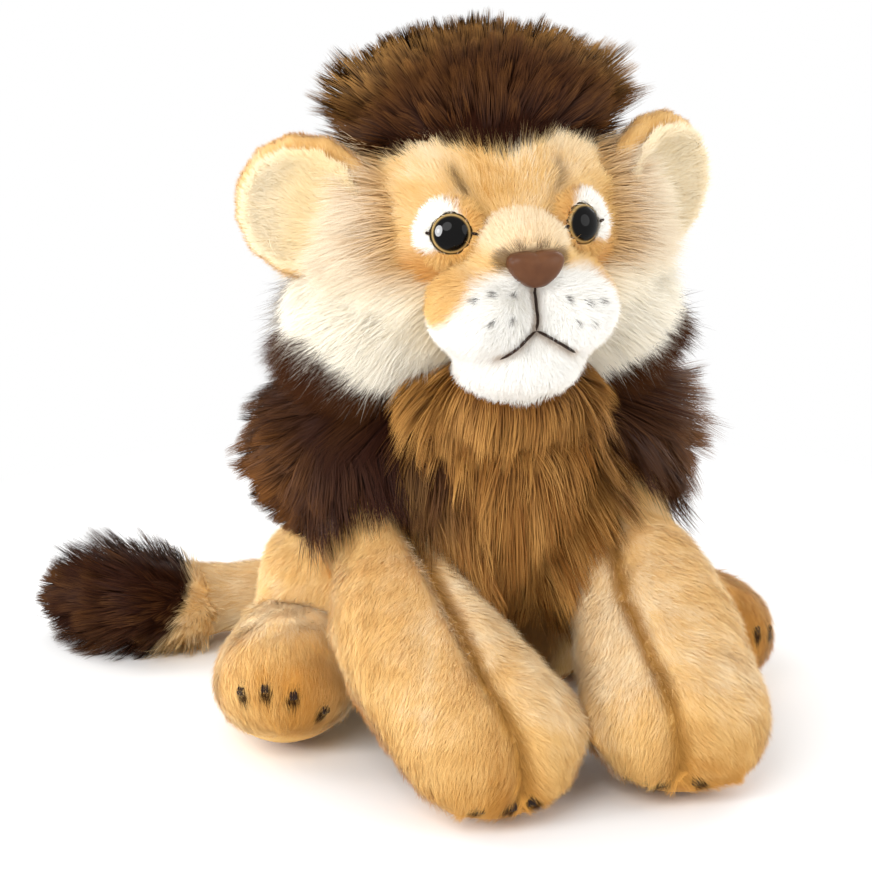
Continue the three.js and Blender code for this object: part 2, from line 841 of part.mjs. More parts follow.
const hipSocket = torsoForm(hipGap);
const passingForelegs = joined(...SIDES.map(({ sign }) => forelegForm(sign, passingGap)));
for (const { name, sign } of SIDES) {
  const hindLeg = new THREE.Group();
  torso.add(hindLeg);
  const tools = [below(0), hipSocket, passingForelegs];
  const inside = (grow) => hindLegForm(sign, grow, LIMB_INNER);
  addPiece(hindLeg, `${name}_hind_leg_skin`, cutBy(hindLegForm(sign), ...tools, inside(-plush)), TAN);
  const stuffing = cutBy(inside(-plush - clearance), hipSocket, passingForelegs);
  addPiece(hindLeg, `${name}_hind_leg_stuffing`, stuffing, FILLING);
}

// Tail

function tuftForm(grow = 0) {
  const along = at(-Math.cos(radians(tuftTurn)), Math.sin(radians(tuftTurn)), Math.sin(radians(tuftLift)));
  const section = (distance, radius) => ({
    at: tailEnd.clone().addScaledVector(along, distance - tuftOverlap),
    wide: radius,
    high: radius,
  });
  const stops = [
    section(0, tuftRootRadius),
    section(tuftSwell, tuftRadius),
    section(tuftLength, tuftTipRadius),
  ];
  return limb(stops, { grow, side: Z_AXIS });
}

const insideTail = (grow) => tailForm(grow, LIMB_INNER, INNER);
const tailMouth = inFrontOf(tailRootY - tailRootDepth);
addPiece(tail, "tail_skin", cutBy(tailForm(), below(0), insideTail(-plush), tailMouth), TAN);
addPiece(tail, "tail_stuffing", cutBy(insideTail(-plush - clearance), tailMouth), FILLING);
addPiece(tail, "tail_tuft", cutBy(tuftForm(), below(0), tailForm(clearance)), DARK_BROWN);

export default puppet;
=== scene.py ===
"""Looks of a plush lion hand puppet: sewn skins, long and short pile, glass eyes and stitched marks."""
import math
from functools import partial

import bmesh
import bpy
import numpy as np
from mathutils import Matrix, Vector
from mathutils.bvhtree import BVHTree
from mathutils.kdtree import KDTree


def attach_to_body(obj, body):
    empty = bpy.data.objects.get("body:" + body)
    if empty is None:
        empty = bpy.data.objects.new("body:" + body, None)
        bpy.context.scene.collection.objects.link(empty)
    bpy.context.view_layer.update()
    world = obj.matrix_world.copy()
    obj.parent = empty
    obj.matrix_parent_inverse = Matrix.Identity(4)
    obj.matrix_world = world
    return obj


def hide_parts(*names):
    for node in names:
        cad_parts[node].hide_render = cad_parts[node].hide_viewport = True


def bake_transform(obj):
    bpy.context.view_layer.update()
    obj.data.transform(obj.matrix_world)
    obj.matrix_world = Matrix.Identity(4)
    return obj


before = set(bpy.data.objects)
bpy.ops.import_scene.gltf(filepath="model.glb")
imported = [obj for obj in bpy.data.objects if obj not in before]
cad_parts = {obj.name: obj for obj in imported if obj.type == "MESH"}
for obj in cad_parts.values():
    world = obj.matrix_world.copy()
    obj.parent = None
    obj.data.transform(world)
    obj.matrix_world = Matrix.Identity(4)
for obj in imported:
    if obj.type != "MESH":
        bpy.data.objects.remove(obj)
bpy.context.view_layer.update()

MM = 0.001
SCENE = bpy.context.scene
SIDES = (("left", 1), ("right", -1))


def mm(*xyz):
    return np.array(xyz, float) * MM


def unit(vectors):
    return vectors / np.maximum(np.linalg.norm(vectors, axis=-1, keepdims=True), 1e-9)


def smooth(low, high, x):
    t = np.clip((x - low) / (high - low), 0, 1)
    return t * t * (3 - 2 * t)


def mix(a, b, t):
    t = np.asarray(t)[..., None]
    return a * (1 - t) + b * t


def paint(red, green, blue):
    """A colour of 0 to 255 as linear light."""
    c = np.array([red, green, blue], float) / 255
    return np.where(c <= 0.04045, c / 12.92, ((c + 0.055) / 1.055) ** 2.4)


def wide_of(root):
    """Distance from the middle plane."""
    return np.abs(root[:, 0])


def rise_of(root):
    return root[:, 2]


def graded(base, more, low, high, measure):
    """A value at the roots that changes with a measure of their place."""
    return lambda root: base + more * smooth(low, high, measure(root))


def ripple(points, size, seed):
    """A smooth field, mostly from -1 to 1, whose swells are about size apart."""
    rng = np.random.default_rng(seed)
    waves = unit(rng.normal(size=(8, 3))) * (2 * np.pi / size) * rng.uniform(0.6, 1.5, (8, 1))
    phases = rng.uniform(0, 2 * np.pi, 8)
    return np.sin(points @ waves.T + phases).sum(1) / 2.8


# Colours of the pile
GOLD = paint(242, 203, 134)
PALE_GOLD = paint(255, 241, 212)
DEEP_GOLD = paint(206, 148, 72)
CREAM = paint(255, 249, 233)
WARM_CREAM = paint(252, 234, 198)
WHITE = paint(255, 254, 250)
WHITE_ROOT = paint(251, 247, 238)
DARK = paint(54, 24, 11)
DARK_ROOT = paint(34, 13, 6)
DARK_TIP = paint(122, 80, 38)
BROWN = paint(146, 92, 36)
BROWN_ROOT = paint(84, 46, 16)
BROWN_TIP = paint(214, 160, 88)
SUEDE = paint(200, 152, 92)
RUST = paint(218, 154, 80)
BUTTER = paint(252, 226, 162)
PUPIL = paint(5, 4, 4)
IRIS = paint(204, 172, 112)
THREAD = paint(34, 20, 13)

# Landmarks, as the solids have them
SKULL = mm(0, -11, 168)
SKULL_HALF = mm(54, 41, 45)
NOSE = mm(0, -66, 171)
SHOULDER = mm(41, -28, 70)
FOOT = mm(77, -34, 22.5)
FOOT_FRONT = mm(84, -58, 27)
LEG_Y = mm(-104, -65, -28)
LEG_Z = mm(23.5, 49, 70)
SEAM_Y = mm(-130, -105, -80, -30)
SEAM_X = {1: mm(31, 28.5, 27.5, 36), -1: mm(-22, -30, -34, -40)}
SEAM_DEPTH = 0.0035
TOE_X = {1: (16.5, 21, 26, 36), -1: (-37, -27, -20, -10)}
HIND_TOES = (mm(97, -48, 27), mm(89, -53, 29), mm(80, -58, 27), mm(68, -57, 20))
TAIL_ROOT = mm(0, 48, 21)
TAIL_BEND = mm(-24, 66, 15)
TAIL_END = mm(-97, 70, 15)


def eye_frame(sign):
    turn, lift = math.radians(25) * sign, math.radians(13)
    ball = np.array([math.sin(turn) * math.cos(lift), -math.cos(turn) * math.cos(lift), math.sin(lift)])
    return SKULL + ball * SKULL_HALF, unit(ball / SKULL_HALF)


# Materials

SHEEN_ROUGHNESS = 0.35
SHEEN_TINT = (1, 0.88, 0.66, 1)
WEAVE_DEPTH = 0.0005


def set_inputs(node, **values):
    """Set a node's sockets, whose names have _ for each space."""
    for name, value in values.items():
        node.inputs[name.replace("_", " ")].default_value = value
    return node


def node_of(tree, kind, operation=None, **values):
    made = tree.nodes.new(f"ShaderNode{kind}")
    if operation:
        made.operation = operation
    return set_inputs(made, **values)


def wire(tree, source, output, target, socket):
    tree.links.new(source.outputs[output], target.inputs[socket])


def material(name, roughness, specular=0.3, sheen=0.0, tinted=True):
    """A Principled material, which takes the mesh's own colours where it is tinted."""
    made = bpy.data.materials.new(name)
    made.use_nodes = True
    tree = made.node_tree
    shader = set_inputs(tree.nodes["Principled BSDF"], Roughness=roughness, Specular_IOR_Level=specular,
                        Sheen_Weight=sheen, Sheen_Roughness=SHEEN_ROUGHNESS, Sheen_Tint=SHEEN_TINT)
    if tinted:
        own = node_of(tree, "VertexColor")
        own.layer_name = "tint"
        wire(tree, own, "Color", shader, "Base Color")
    return made


def woven(made, weave, depth):
    """Put a fine weave in relief on a material."""
    tree = made.node_tree
    threads = node_of(tree, "TexNoise", Scale=weave, Detail=2)
    bump = node_of(tree, "Bump", Strength=depth, Distance=WEAVE_DEPTH)
    wire(tree, node_of(tree, "TexCoord"), "Object", threads, "Vector")
    wire(tree, threads, "Fac", bump, "Height")
    wire(tree, bump, "Normal", tree.nodes["Principled BSDF"], "Normal")


def cloth_material(name, dark, light, weave, depth, roughness=0.9, sheen=0.2):
    """Woven or napped cloth: a mottled colour with a fine weave in relief."""
    made = material(name, roughness, specular=0.2, sheen=sheen, tinted=False)
    tree = made.node_tree
    mottle = node_of(tree, "TexNoise", Scale=60, Detail=6)
    ramp = node_of(tree, "ValToRGB")
    for stop, place, colour in zip(ramp.color_ramp.elements, (0.35, 0.65), (dark, light)):
        stop.position = place
        stop.color = (*paint(*colour), 1)
    wire(tree, node_of(tree, "TexCoord"), "Object", mottle, "Vector")
    wire(tree, mottle, "Fac", ramp, "Fac")
    wire(tree, ramp, "Color", tree.nodes["Principled BSDF"], "Base Color")
    woven(made, weave, depth)
    return made


SHORT_PILE = material("short_pile", 0.85, specular=0.05, sheen=0.7)
LONG_PILE = material("long_pile", 0.5, specular=0.12)
BACKING = material("pile_backing", 0.95, specular=0.1)
woven(BACKING, 1500, 0.4)
LINING = cloth_material("lining_cloth", (170, 134, 92), (196, 160, 116), 1800, 0.5)
NYLON = cloth_material("washer_nylon", (222, 216, 204), (238, 234, 224), 300, 0.1, 0.45, 0)
THREAD_LOOK = cloth_material("dark_thread", (28, 16, 10), (52, 32, 22), 2500, 0.8, 0.7)
HEM_LOOK = cloth_material("hem_tape", (160, 122, 78), (190, 150, 104), 1500, 0.5)
SEAT_LOOK = cloth_material("seat_suede", (190, 124, 68), (212, 146, 86), 1600, 0.5)
STITCH_LOOK = cloth_material("hem_thread", (220, 188, 140), (240, 214, 172), 2500, 0.6, 0.7)
NOSE_LOOK = cloth_material("nose_plastic", (84, 50, 30), (112, 72, 44), 420, 0.12, 0.36, 0)
EYE_LOOK = material("eye_plastic", 0.04, specular=0.15)


# Meshes

PULL_IN = 0.6
PULL_OUT = 0.61
CLOTH_FRAMES = 20
PUFF_CAP = 0.002
TOUCH = 0.004
ROOM_SHARE = 0.4
FADE_ROUNDS = 4
UNDER_SKIN = 2e-4


def add_object(name, mesh):
    made = bpy.data.objects.new(name, mesh)
    SCENE.collection.objects.link(made)
    return made


def bake(obj):
    """Apply an object's modifiers to its mesh."""
    graph = bpy.context.evaluated_depsgraph_get()
    mesh = bpy.data.meshes.new_from_object(obj.evaluated_get(graph))
    obj.modifiers.clear()
    obj.data = mesh


def per_point(mesh, field):
    found = np.empty(len(mesh.vertices) * 3, np.float32)
    mesh.vertices.foreach_get(field, found)
    return found.reshape(-1, 3).astype(float)


def points_of(mesh):
    return per_point(mesh, "co")


def normals_of(mesh):
    return per_point(mesh, "normal")


def edges_of(mesh):
    """The two ends of each edge."""
    ends = np.empty(len(mesh.edges) * 2, np.int32)
    mesh.edges.foreach_get("vertices", ends)
    return ends.reshape(-1, 2).T


def place_points(mesh, points):
    mesh.vertices.foreach_set("co", points.astype(np.float32).ravel())
    mesh.update()


def from_neighbours(ends, values):
    """The sum of the values at each point's neighbours."""
    a, b = ends
    return np.bincount(a, values[b], len(values)) + np.bincount(b, values[a], len(values))


def relax(mesh, rounds):
    """Even out a mesh over a few edges, pulling in and then out so that it hardly shrinks."""
    ends, points = edges_of(mesh), points_of(mesh)
    degree = np.maximum(from_neighbours(ends, np.ones(len(points))), 1)
    for i in range(2 * rounds):
        sums = np.stack([from_neighbours(ends, column) for column in points.T], 1)
        points += (PULL_IN if i % 2 == 0 else -PULL_OUT) * (sums / degree[:, None] - points)
    place_points(mesh, points)


def remeshed(name, nodes, voxel, rounds):
    """One smooth closed form round some CAD nodes."""
    shell = bmesh.new()
    for node in nodes:
        shell.from_mesh(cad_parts[node].data)
    bmesh.ops.remove_doubles(shell, verts=shell.verts, dist=1e-6)
    mesh = bpy.data.meshes.new(name)
    shell.to_mesh(mesh)
    shell.free()
    made = add_object(name, mesh)
    grid = made.modifiers.new("grid", "REMESH")
    grid.mode = "VOXEL"
    grid.voxel_size = voxel
    bake(made)
    keep_largest(made.data)
    relax(made.data, rounds)
    return made


def keep_largest(mesh):
    """Drop the crumbs and inner shells that a remesh leaves."""
    form = bmesh.new()
    form.from_mesh(mesh)
    left, islands = set(form.verts), []
    while left:
        island, heap = [], [left.pop()]
        while heap:
            island.append(heap.pop())
            near = {edge.other_vert(island[-1]) for edge in island[-1].link_edges} & left
            left -= near
            heap += near
        islands.append(island)
    for island in sorted(islands, key=len)[:-1]:
        bmesh.ops.delete(form, geom=island, context="VERTS")
    form.to_mesh(mesh)
    form.free()
    mesh.update()


def puff(swelled):
    """Swell stuffed forms as cloth under pressure, no further than the cap."""
    before = {}
    for form in swelled:
        before[form] = points_of(form.data)
        cloth = form.modifiers.new("cloth", "CLOTH")
        cloth.settings.quality = 4
        cloth.settings.use_pressure = True
        cloth.settings.uniform_pressure_force = 4
        cloth.settings.effector_weights.gravity = 0
        cloth.settings.tension_stiffness = 20
        cloth.settings.compression_stiffness = 20
        cloth.collision_settings.use_collision = False
        cloth.point_cache.frame_start = 1
        cloth.point_cache.frame_end = CLOTH_FRAMES
    for step in range(1, CLOTH_FRAMES + 1):
        SCENE.frame_set(step)
    for form in swelled:
        bake(form)
        moved = points_of(form.data) - before[form]
        far = np.linalg.norm(moved, axis=1, keepdims=True)
        moved *= np.minimum(1, PUFF_CAP / np.maximum(far, 1e-9))
        place_points(form.data, before[form] + moved)
    SCENE.frame_set(1)


def spread_over(mesh, values, rounds):
    """Average a value per point over the edges."""
    ends = edges_of(mesh)
    degree = from_neighbours(ends, np.ones(len(values))) + 1
    for _ in range(rounds):
        values = (from_neighbours(ends, values) + values) / degree
    return values


def inset(form, own, depth):
    """Move a form's open surface inwards, by no more than a share of its thickness there."""
    mesh = form.data
    points, normals = points_of(mesh), normals_of(mesh)
    room = reach(tree_of(form), points - normals * UNDER_SKIN, -normals, 1.0)
    free = 1 - np.clip(1.5 * spread_over(mesh, covered(form, own, TOUCH), FADE_ROUNDS), 0, 1)
    place_points(mesh, points - normals * (free * np.minimum(depth, ROOM_SHARE * room))[:, None])
    relax(mesh, 2)


def tree_of(*objects):
    points, faces = [], []
    for obj in objects:
        start = len(points)
        points += [v.co for v in obj.data.vertices]
        faces += [[start + i for i in f.vertices] for f in obj.data.polygons]
    return BVHTree.FromPolygons(points, faces)


def reach(tree, starts, ways, miss, *limit):
    """How far each ray goes before it hits, or what stands for a miss."""
    hits = (tree.ray_cast(Vector(p), Vector(d), *limit) for p, d in zip(starts, ways))
    return np.array([miss if hit[0] is None else hit[3] for hit in hits])


def tint(mesh, colours):
    """Give each point of a mesh its own colour."""
    layer = mesh.color_attributes.new("tint", "FLOAT_COLOR", "POINT")
    rgba = np.ones((len(colours), 4), np.float32)
    rgba[:, :3] = colours
    layer.data.foreach_set("color", rgba.ravel())


# Pile

def covered(form, own, depth):
    """Which points of a form lie against another piece, where no pile shows."""
    tree = tree_of(*(obj for name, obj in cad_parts.items() if name not in own))
    return (reach(tree, points_of(form.data), normals_of(form.data), -1, depth) >= 0).astype(float)


def scatter(mesh, count, weight, rng):
    """Random points on a mesh with their normals, placed by area and by a weight per point."""
    mesh.calc_loop_triangles()
    corners = np.empty(len(mesh.loop_triangles) * 3, np.int32)
    mesh.loop_triangles.foreach_get("vertices", corners)
    corners = corners.reshape(-1, 3)
    points, normals = points_of(mesh), normals_of(mesh)
    a, b, c = points[corners.T]
    area = np.linalg.norm(np.cross(b - a, c - a), axis=1) / 2
    share = area * weight[corners].mean(1)
    number = int(count * share.sum() * 1e4)
    picked = rng.choice(len(share), number, p=share / share.sum())
    u, v = rng.random((2, number))
    over = u + v > 1
    u[over], v[over] = 1 - u[over], 1 - v[over]
    w = np.stack([1 - u - v, u, v], 1)[..., None]
    return (points[corners[picked]] * w).sum(1), unit((normals[corners[picked]] * w).sum(1))


LEAST_LENGTH = 0.15
OFF_FLOOR = 0.0004
ROLL = 0.54
SHADE_TURN = 0.6


def value_at(root, field):
    return field(root) if callable(field) else np.full(len(root), field)


def grow(name, form, own, density, width, length, comb, colours, seed, lift, spread=0.2, segments=2,
         droop=0.0, sway=0.25, clump=0.35, lock=10, buried=0.008, stand=False, weight=None, fade=0.8,
         proud=None, jag=0.0, facing=(0, 0, 0), look=SHORT_PILE):
    """Pile on a form: density per square centimetre, and the rest as fields of the root's place.

    Hair that fills a hollow is shaded as its outer surface, which looks more or less the way of facing.
    """
    rng = np.random.default_rng(seed)
    share = 1 - covered(form, own, buried)
    if weight is not None:
        share *= weight(points_of(form.data), normals_of(form.data))
    root, normal = scatter(form.data, density, share, rng)
    n = len(root)
    centres = rng.choice(n, max(n // lock, 1), replace=False)
    near = KDTree(len(centres))
    for i, k in enumerate(centres):
        near.insert(root[k], i)
    near.balance()
    mate = centres[np.fromiter((near.find(p)[1] for p in root), int, n)]
    lie = unit(comb(root, normal))
    if not stand:
        lie = unit(lie - (lie * normal).sum(1, keepdims=True) * normal)
    lean = value_at(root, lift)
    way = lie * np.cos(lean)[:, None] + normal * np.sin(lean)[:, None]
    drift = np.stack([ripple(root, 0.014, seed + k) for k in (11, 12, 13)], 1)
    way = unit(way + sway * drift * 0.5 + rng.normal(0, spread, (n, 3)))
    uneven = 1 + jag * rng.uniform(-1, 1, n)[mate]
    long = value_at(root, length) * rng.uniform(0.75, 1.12, n) * uneven
    if proud is not None:
        beyond = value_at(root, proud) * (2 * uneven - 1) * rng.uniform(0.75, 1.1, n)
        long = np.minimum(long, np.maximum(outline_gap(own, root, way) + beyond, LEAST_LENGTH * long))
    step = np.linspace(0, 1, segments + 1)
    fall = droop * np.array([0, 0, -1.0]) - 0.18 * normal * (0 if stand else 1)
    line = root[:, None] + long[:, None, None] * (
        step[None, :, None] * way[:, None] + (step ** 2)[None, :, None] * fall[:, None]
    )
    line += (clump * step ** 1.4)[None, :, None] * (line[mate] - line)
    line[..., 2] = np.maximum(line[..., 2], OFF_FLOOR)
    luck = 0.55 * rng.random(n) + 0.45 * rng.random(n)[mate]
    low, high = colours(root, luck)
    shaded = unit(normal + np.asarray(facing, float))
    made = ribbon(name, line, shaded, width * rng.uniform(0.7, 1.3, n), low, high, fade, rng)
    made.data.materials.append(look)
    made.data.shade_smooth()
    return made


def outline_gap(own, root, way):
    """How far each hair can go before it leaves its own solids."""
    return reach(tree_of(*(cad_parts[name] for name in own)), root, way, 0.0)


def ribbon(name, line, normal, width, low, high, fade, rng):
    """Flat tapered hairs along lines of points, with a colour from root to tip."""
    n, count = line.shape[:2]
    along = unit(np.gradient(line, axis=1))
    roll = rng.uniform(-ROLL, ROLL, n)[:, None, None]
    across = unit(np.cross(along, normal[:, None]))
    side = across * np.cos(roll) + np.cross(along, across) * np.sin(roll)
    step = np.linspace(0, 1, count)
    half = 0.5 * width[:, None, None] * ((1 - step) ** 0.6)[None, :, None]
    pairs = np.stack([line - side * half, line + side * half], 2)[:, :-1].reshape(n, -1, 3)
    points = np.concatenate([pairs, line[:, -1:]], 1)
    each = points.shape[1]
    quads = [[2 * i, 2 * i + 1, 2 * i + 3, 2 * i + 2] for i in range(count - 2)]
    tip = [each - 3, each - 2, each - 1]
    pattern = np.array(sum(quads, []) + tip, np.int32)
    loops = (pattern[None] + (np.arange(n) * each)[:, None].astype(np.int32)).ravel()
    starts = 4 * np.arange(len(quads) + 1, dtype=np.int32)
    begins = (starts[None] + (np.arange(n) * len(pattern))[:, None].astype(np.int32)).ravel()
    mesh = bpy.data.meshes.new(name)
    mesh.vertices.add(n * each)
    mesh.vertices.foreach_set("co", points.astype(np.float32).ravel())
    mesh.loops.add(len(loops))
    mesh.loops.foreach_set("vertex_index", loops)
    mesh.polygons.add(len(begins))
    mesh.polygons.foreach_set("loop_start", begins)
    mesh.update(calc_edges=True)
    far = np.concatenate([np.repeat(step[:-1], 2), step[-1:]])
    share = np.broadcast_to(far[None] ** fade, (n, each))
    tint(mesh, mix(low[:, None], high[:, None], share).reshape(-1, 3))
    facing = unit(normal - SHADE_TURN * (normal * along[:, 0]).sum(1, keepdims=True) * along[:, 0])
    mesh.normals_split_custom_set_from_vertices(np.repeat(facing, each, 0).astype(np.float32))
    return add_object(name, mesh)


# Fields of colour: each gives the root's and the tip's colour of the hairs

def tan(tone):
    """Tan from deep at -1 to pale at 1."""
    tone = np.clip(tone, -1, 1)
    return mix(mix(GOLD, DEEP_GOLD, np.maximum(-tone, 0)), PALE_GOLD, np.maximum(tone, 0))


def over(hair, low, high, share):
    """Lay a root colour and a tip colour over those of the hair."""
    return mix(hair[0], low, share), mix(hair[1], high, share)


def golden(root, luck, pale=0.0):
    cloud = 0.18 * ripple(root, 0.05, 3) + 0.11 * ripple(root, 0.010, 4)
    tone = pale + cloud + 0.45 * (luck - 0.5)
    return tan(tone - 0.22), tan(tone + 0.08)


def dark(root, luck):
    tips = np.clip(luck ** 1.5 * 0.75 + 0.15 * ripple(root, 0.03, 5), 0, 1)
    return mix(DARK_ROOT, DARK, luck), mix(DARK, DARK_TIP, tips)


def brown(root, luck):
    tips = np.clip(luck * 0.9 + 0.35 * ripple(root, 0.012, 6), 0, 1)
    return mix(BROWN_ROOT, BROWN, luck * 0.8), mix(BROWN, BROWN_TIP, tips)


def white(root, luck):
    return mix(WHITE_ROOT, WHITE, luck), np.broadcast_to(WHITE, root.shape)


def backing(form, colours):
    """Colour the cloth under the pile as the pile's roots are."""
    points = points_of(form.data)
    low, high = colours(points, np.full(len(points), 0.5))
    tint(form.data, mix(low, high, np.full(len(points), 0.15)))


def along(vector):
    return lambda root, normal: np.broadcast_to(np.asarray(vector, float), root.shape)


def away_from(centre, push=(0, 0, 0)):
    return lambda root, normal: unit(root - centre) + np.asarray(push, float)


# Soft forms: body, nodes, voxel size, rounds of relaxing, and the cloth's depth in the pile in millimetres

STUFFED = {
    "torso_plush": ("torso", ["torso_skin", "torso_stuffing"], 0.0035, 25, 2),
    "head_plush": ("head", ["head_skin", "head_stuffing"], 0.0035, 25, 2),
    "muzzle_plush": ("head", ["left_whisker_pad", "right_whisker_pad", "chin", "muzzle_bridge"],
                     0.002, 30, 2),
    "tail_plush": ("tail", ["tail_skin", "tail_stuffing"], 0.003, 25, 1.5),
}
for side, _ in SIDES:
    for leg in ("foreleg", "hind_leg"):
        name = f"{side}_{leg}"
        STUFFED[f"{name}_plush"] = (name, [f"{name}_skin", f"{name}_stuffing"], 0.0035, 25, 2)
PANELS = {
    "seat_base": ("torso", ["seat_panel"], 0.0015, 2, 0),
    "hand_lining": ("torso", ["palm_lining"], 0.0012, 3, 0),
    "mouth_hem": ("torso", ["opening_hem"], 0.0012, 3, 0),
    "neck_tube": ("neck", ["neck_sleeve"], 0.0015, 4, 0),
    "head_pocket": ("head", ["head_finger_pocket"], 0.0009, 2, 0),
    "crest_base": ("head", ["mane_crest"], 0.003, 14, 7),
    "nape_base": ("head", ["mane_nape"], 0.003, 14, 6),
    "ruff_base": ("head", ["throat_ruff"], 0.0025, 10, 5),
    "bib_base": ("torso", ["chest_bib"], 0.003, 14, 6),
    "cape_base": ("torso", ["mane_cape"], 0.003, 14, 5),
    "tuft_base": ("tail", ["tail_tuft"], 0.0025, 14, 7),
}
for side, _ in SIDES:
    PANELS[f"{side}_patch_plush"] = ("head", [f"{side}_eye_patch"], 0.0012, 4, 0)
    PANELS[f"{side}_ear_cup"] = ("head", [f"{side}_ear_back"], 0.0016, 24, 0)
    PANELS[f"{side}_ear_dish"] = ("head", [f"{side}_ear_front"], 0.0014, 16, 0)
    PANELS[f"{side}_cheek_base"] = ("head", [f"{side}_cheek"], 0.003, 14, 5)
    PANELS[f"{side}_collar_base"] = ("torso", [f"{side}_collar"], 0.003, 14, 6)
    PANELS[f"{side}_glove_finger"] = (f"{side}_pocket", [f"{side}_finger_pocket"], 0.0009, 2, 0)
PIECES = {**STUFFED, **PANELS}
forms = {name: remeshed(name, nodes, voxel, rounds) for name, (_, nodes, voxel, rounds, _) in PIECES.items()}
puff([forms[name] for name in STUFFED])
for name, (_, nodes, _, _, depth) in PIECES.items():
    if depth:
        inset(forms[name], nodes, depth * MM)


# Seams: the cloth sinks where two panels of a foreleg meet

def seam_x(y, sign):
    """Where the seam down a foreleg's front lies."""
    return np.interp(y, SEAM_Y, SEAM_X[sign])


def seam_gap(points, sign):
    """Distance from the seam, on the leg's upper and front side, or far."""
    gap = np.abs(points[:, 0] - seam_x(points[:, 1], sign))
    axis = np.interp(points[:, 1], LEG_Y, LEG_Z)
    return np.where(points[:, 2] > axis - 0.012, gap, 1.0)


for side, sign in SIDES:
    form = forms[f"{side}_foreleg_plush"]
    points, normals = points_of(form.data), normals_of(form.data)
    sink = SEAM_DEPTH * np.exp(-((seam_gap(points, sign) / SEAM_DEPTH) ** 2))
    place_points(form.data, points - normals * sink[:, None])


# Marks that the stitches leave in the pile

def landed(form, start, way):
    """Where a line from start meets a form, and the form's outward side there."""
    hit = tree_of(form).ray_cast(Vector(start), Vector(way))
    return np.array(hit[0]), np.array(hit[1])


def segment_gap(points, a, b):
    d = b - a
    t = np.clip(((points - a) @ d) / (d @ d), 0, 1)
    return np.linalg.norm(points - a - t[:, None] * d, axis=1)


toes = {}
for side, sign in SIDES:
    spots = []
    for toe in HIND_TOES:
        way = unit(FOOT - toe) * (sign, 1, 1)
        spots.append(landed(forms[f"{side}_hind_leg_plush"], toe * (sign, 1, 1) - 0.03 * way, way))
    toes[f"{side}_hind_leg"] = spots
    leg = forms[f"{side}_foreleg_plush"]
    toes[f"{side}_foreleg"] = [landed(leg, mm(x, -160, 10.5), (0, 1, 0)) for x in TOE_X[sign]]


def toe_gap(root, body):
    """Distance from the nearest toe mark, which is taller than wide."""
    return np.min([np.linalg.norm((root - place) * (1, 1, 0.8), axis=1) for place, _ in toes[body]], axis=0)


# Pile of the body

def level(root, x, y, z):
    return np.stack([np.broadcast_to(v, len(root)) for v in (x, y, z)], 1)


def leg_comb(sign, root, normal):
    apart = np.sign(root[:, 0] - seam_x(root[:, 1], sign))
    return level(root, apart * 0.5, -0.7, -0.7)


def leg_colours(sign, root, luck):
    """Paler on the inner side of the seam and darker in it, as painted shade in the seam's groove, with deep
    gold toes.
    """
    inner = smooth(-0.002, 0.004, -(root[:, 0] - seam_x(root[:, 1], sign)) * sign)
    gap = smooth(0.0005, 0.004, seam_gap(root, sign))
    pale = np.interp(root[:, 2], mm(12, 40, 75), (-0.95, 0.2, 0.0)) + 0.1 * sign
    low, high = golden(root, luck, pale + 0.35 * inner)
    return mix(DEEP_GOLD * 0.7, low, gap), mix(DEEP_GOLD * 0.85, high, 0.2 + 0.8 * gap)


def hind_colours(root, luck):
    """Deep gold at the toes and paler further from them, which on the foot's top is partly painted light;
    deeper on the left foot, as painted shade where the foreleg shadows it.
    """
    left = root[:, 0] > 0
    away = np.linalg.norm(root - np.where(left[:, None], FOOT_FRONT, FOOT_FRONT * (-1, 1, 1)), axis=1)
    return golden(root, luck, np.interp(away, mm(10, 22, 34), (-0.7, -0.15, 0.4)) - 0.6 * left)


def with_toes(colours, body, root, luck):
    """Dark stitched marks where the toes part."""
    mark = 0.95 * smooth(0.0029, 0.0018, toe_gap(root, body))
    return over(colours(root, luck), DARK_ROOT, DARK_ROOT, mark)


SHORT_LENGTH = 0.0065


def short_pile(body, root):
    return SHORT_LENGTH * (0.7 + 0.3 * smooth(0.001, 0.004, toe_gap(root, body)))


def off_ground(points, normals):
    """No pile on the soles and on the seat."""
    return 1 - smooth(0.45, 0.8, -normals[:, 2]) * (points[:, 2] < 0.012)


def bare_soles(colours, root, luck):
    """The cloth of the soles is bare suede."""
    return over(colours(root, luck), SUEDE, SUEDE, smooth(0.008, 0.003, root[:, 2]))


def attach(obj, body, bend=None):
    """Let a piece ride with its body, or, for a piece at a joint, bake its place into its mesh."""
    if bend:
        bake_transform(obj)
    else:
        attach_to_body(obj, body)


def dress(name, look, bend=None):
    """Give a cloth piece its material and its place in the part."""
    form = forms[name]
    body, nodes = PIECES[name][:2]
    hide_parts(*nodes)
    form.data.materials.append(look)
    attach(form, body, bend)
    return form, body, nodes


def furnish(name, slot, colours, bend=None, **pile):
    """Finish a soft piece: its cloth and its pile."""
    form, body, nodes = dress(name, BACKING, bend)
    hair = grow(f"{name}_pile", form, nodes, colours=colours, **pile)
    backing(form, partial(bare_soles, colours))
    attach(hair, body, bend)


SHORT = dict(density=720, width=0.00024, segments=1, lift=0.45, spread=0.15, clump=0.06, lock=12,
             weight=off_ground)


def torso_colours(root, luck):
    """Brown behind the bib, partly for the dark underside of its hair and partly painted shade low on the
    chest between the forelegs.
    """
    low, high = golden(root, luck, 0.1)
    under = smooth(0.030, 0.018, wide_of(root)) * smooth(-0.015, -0.025, root[:, 1])
    under *= root[:, 2] > 0.012
    return mix(low, BROWN_ROOT, 0.8 * under), mix(high, BROWN, 0.85 * under)


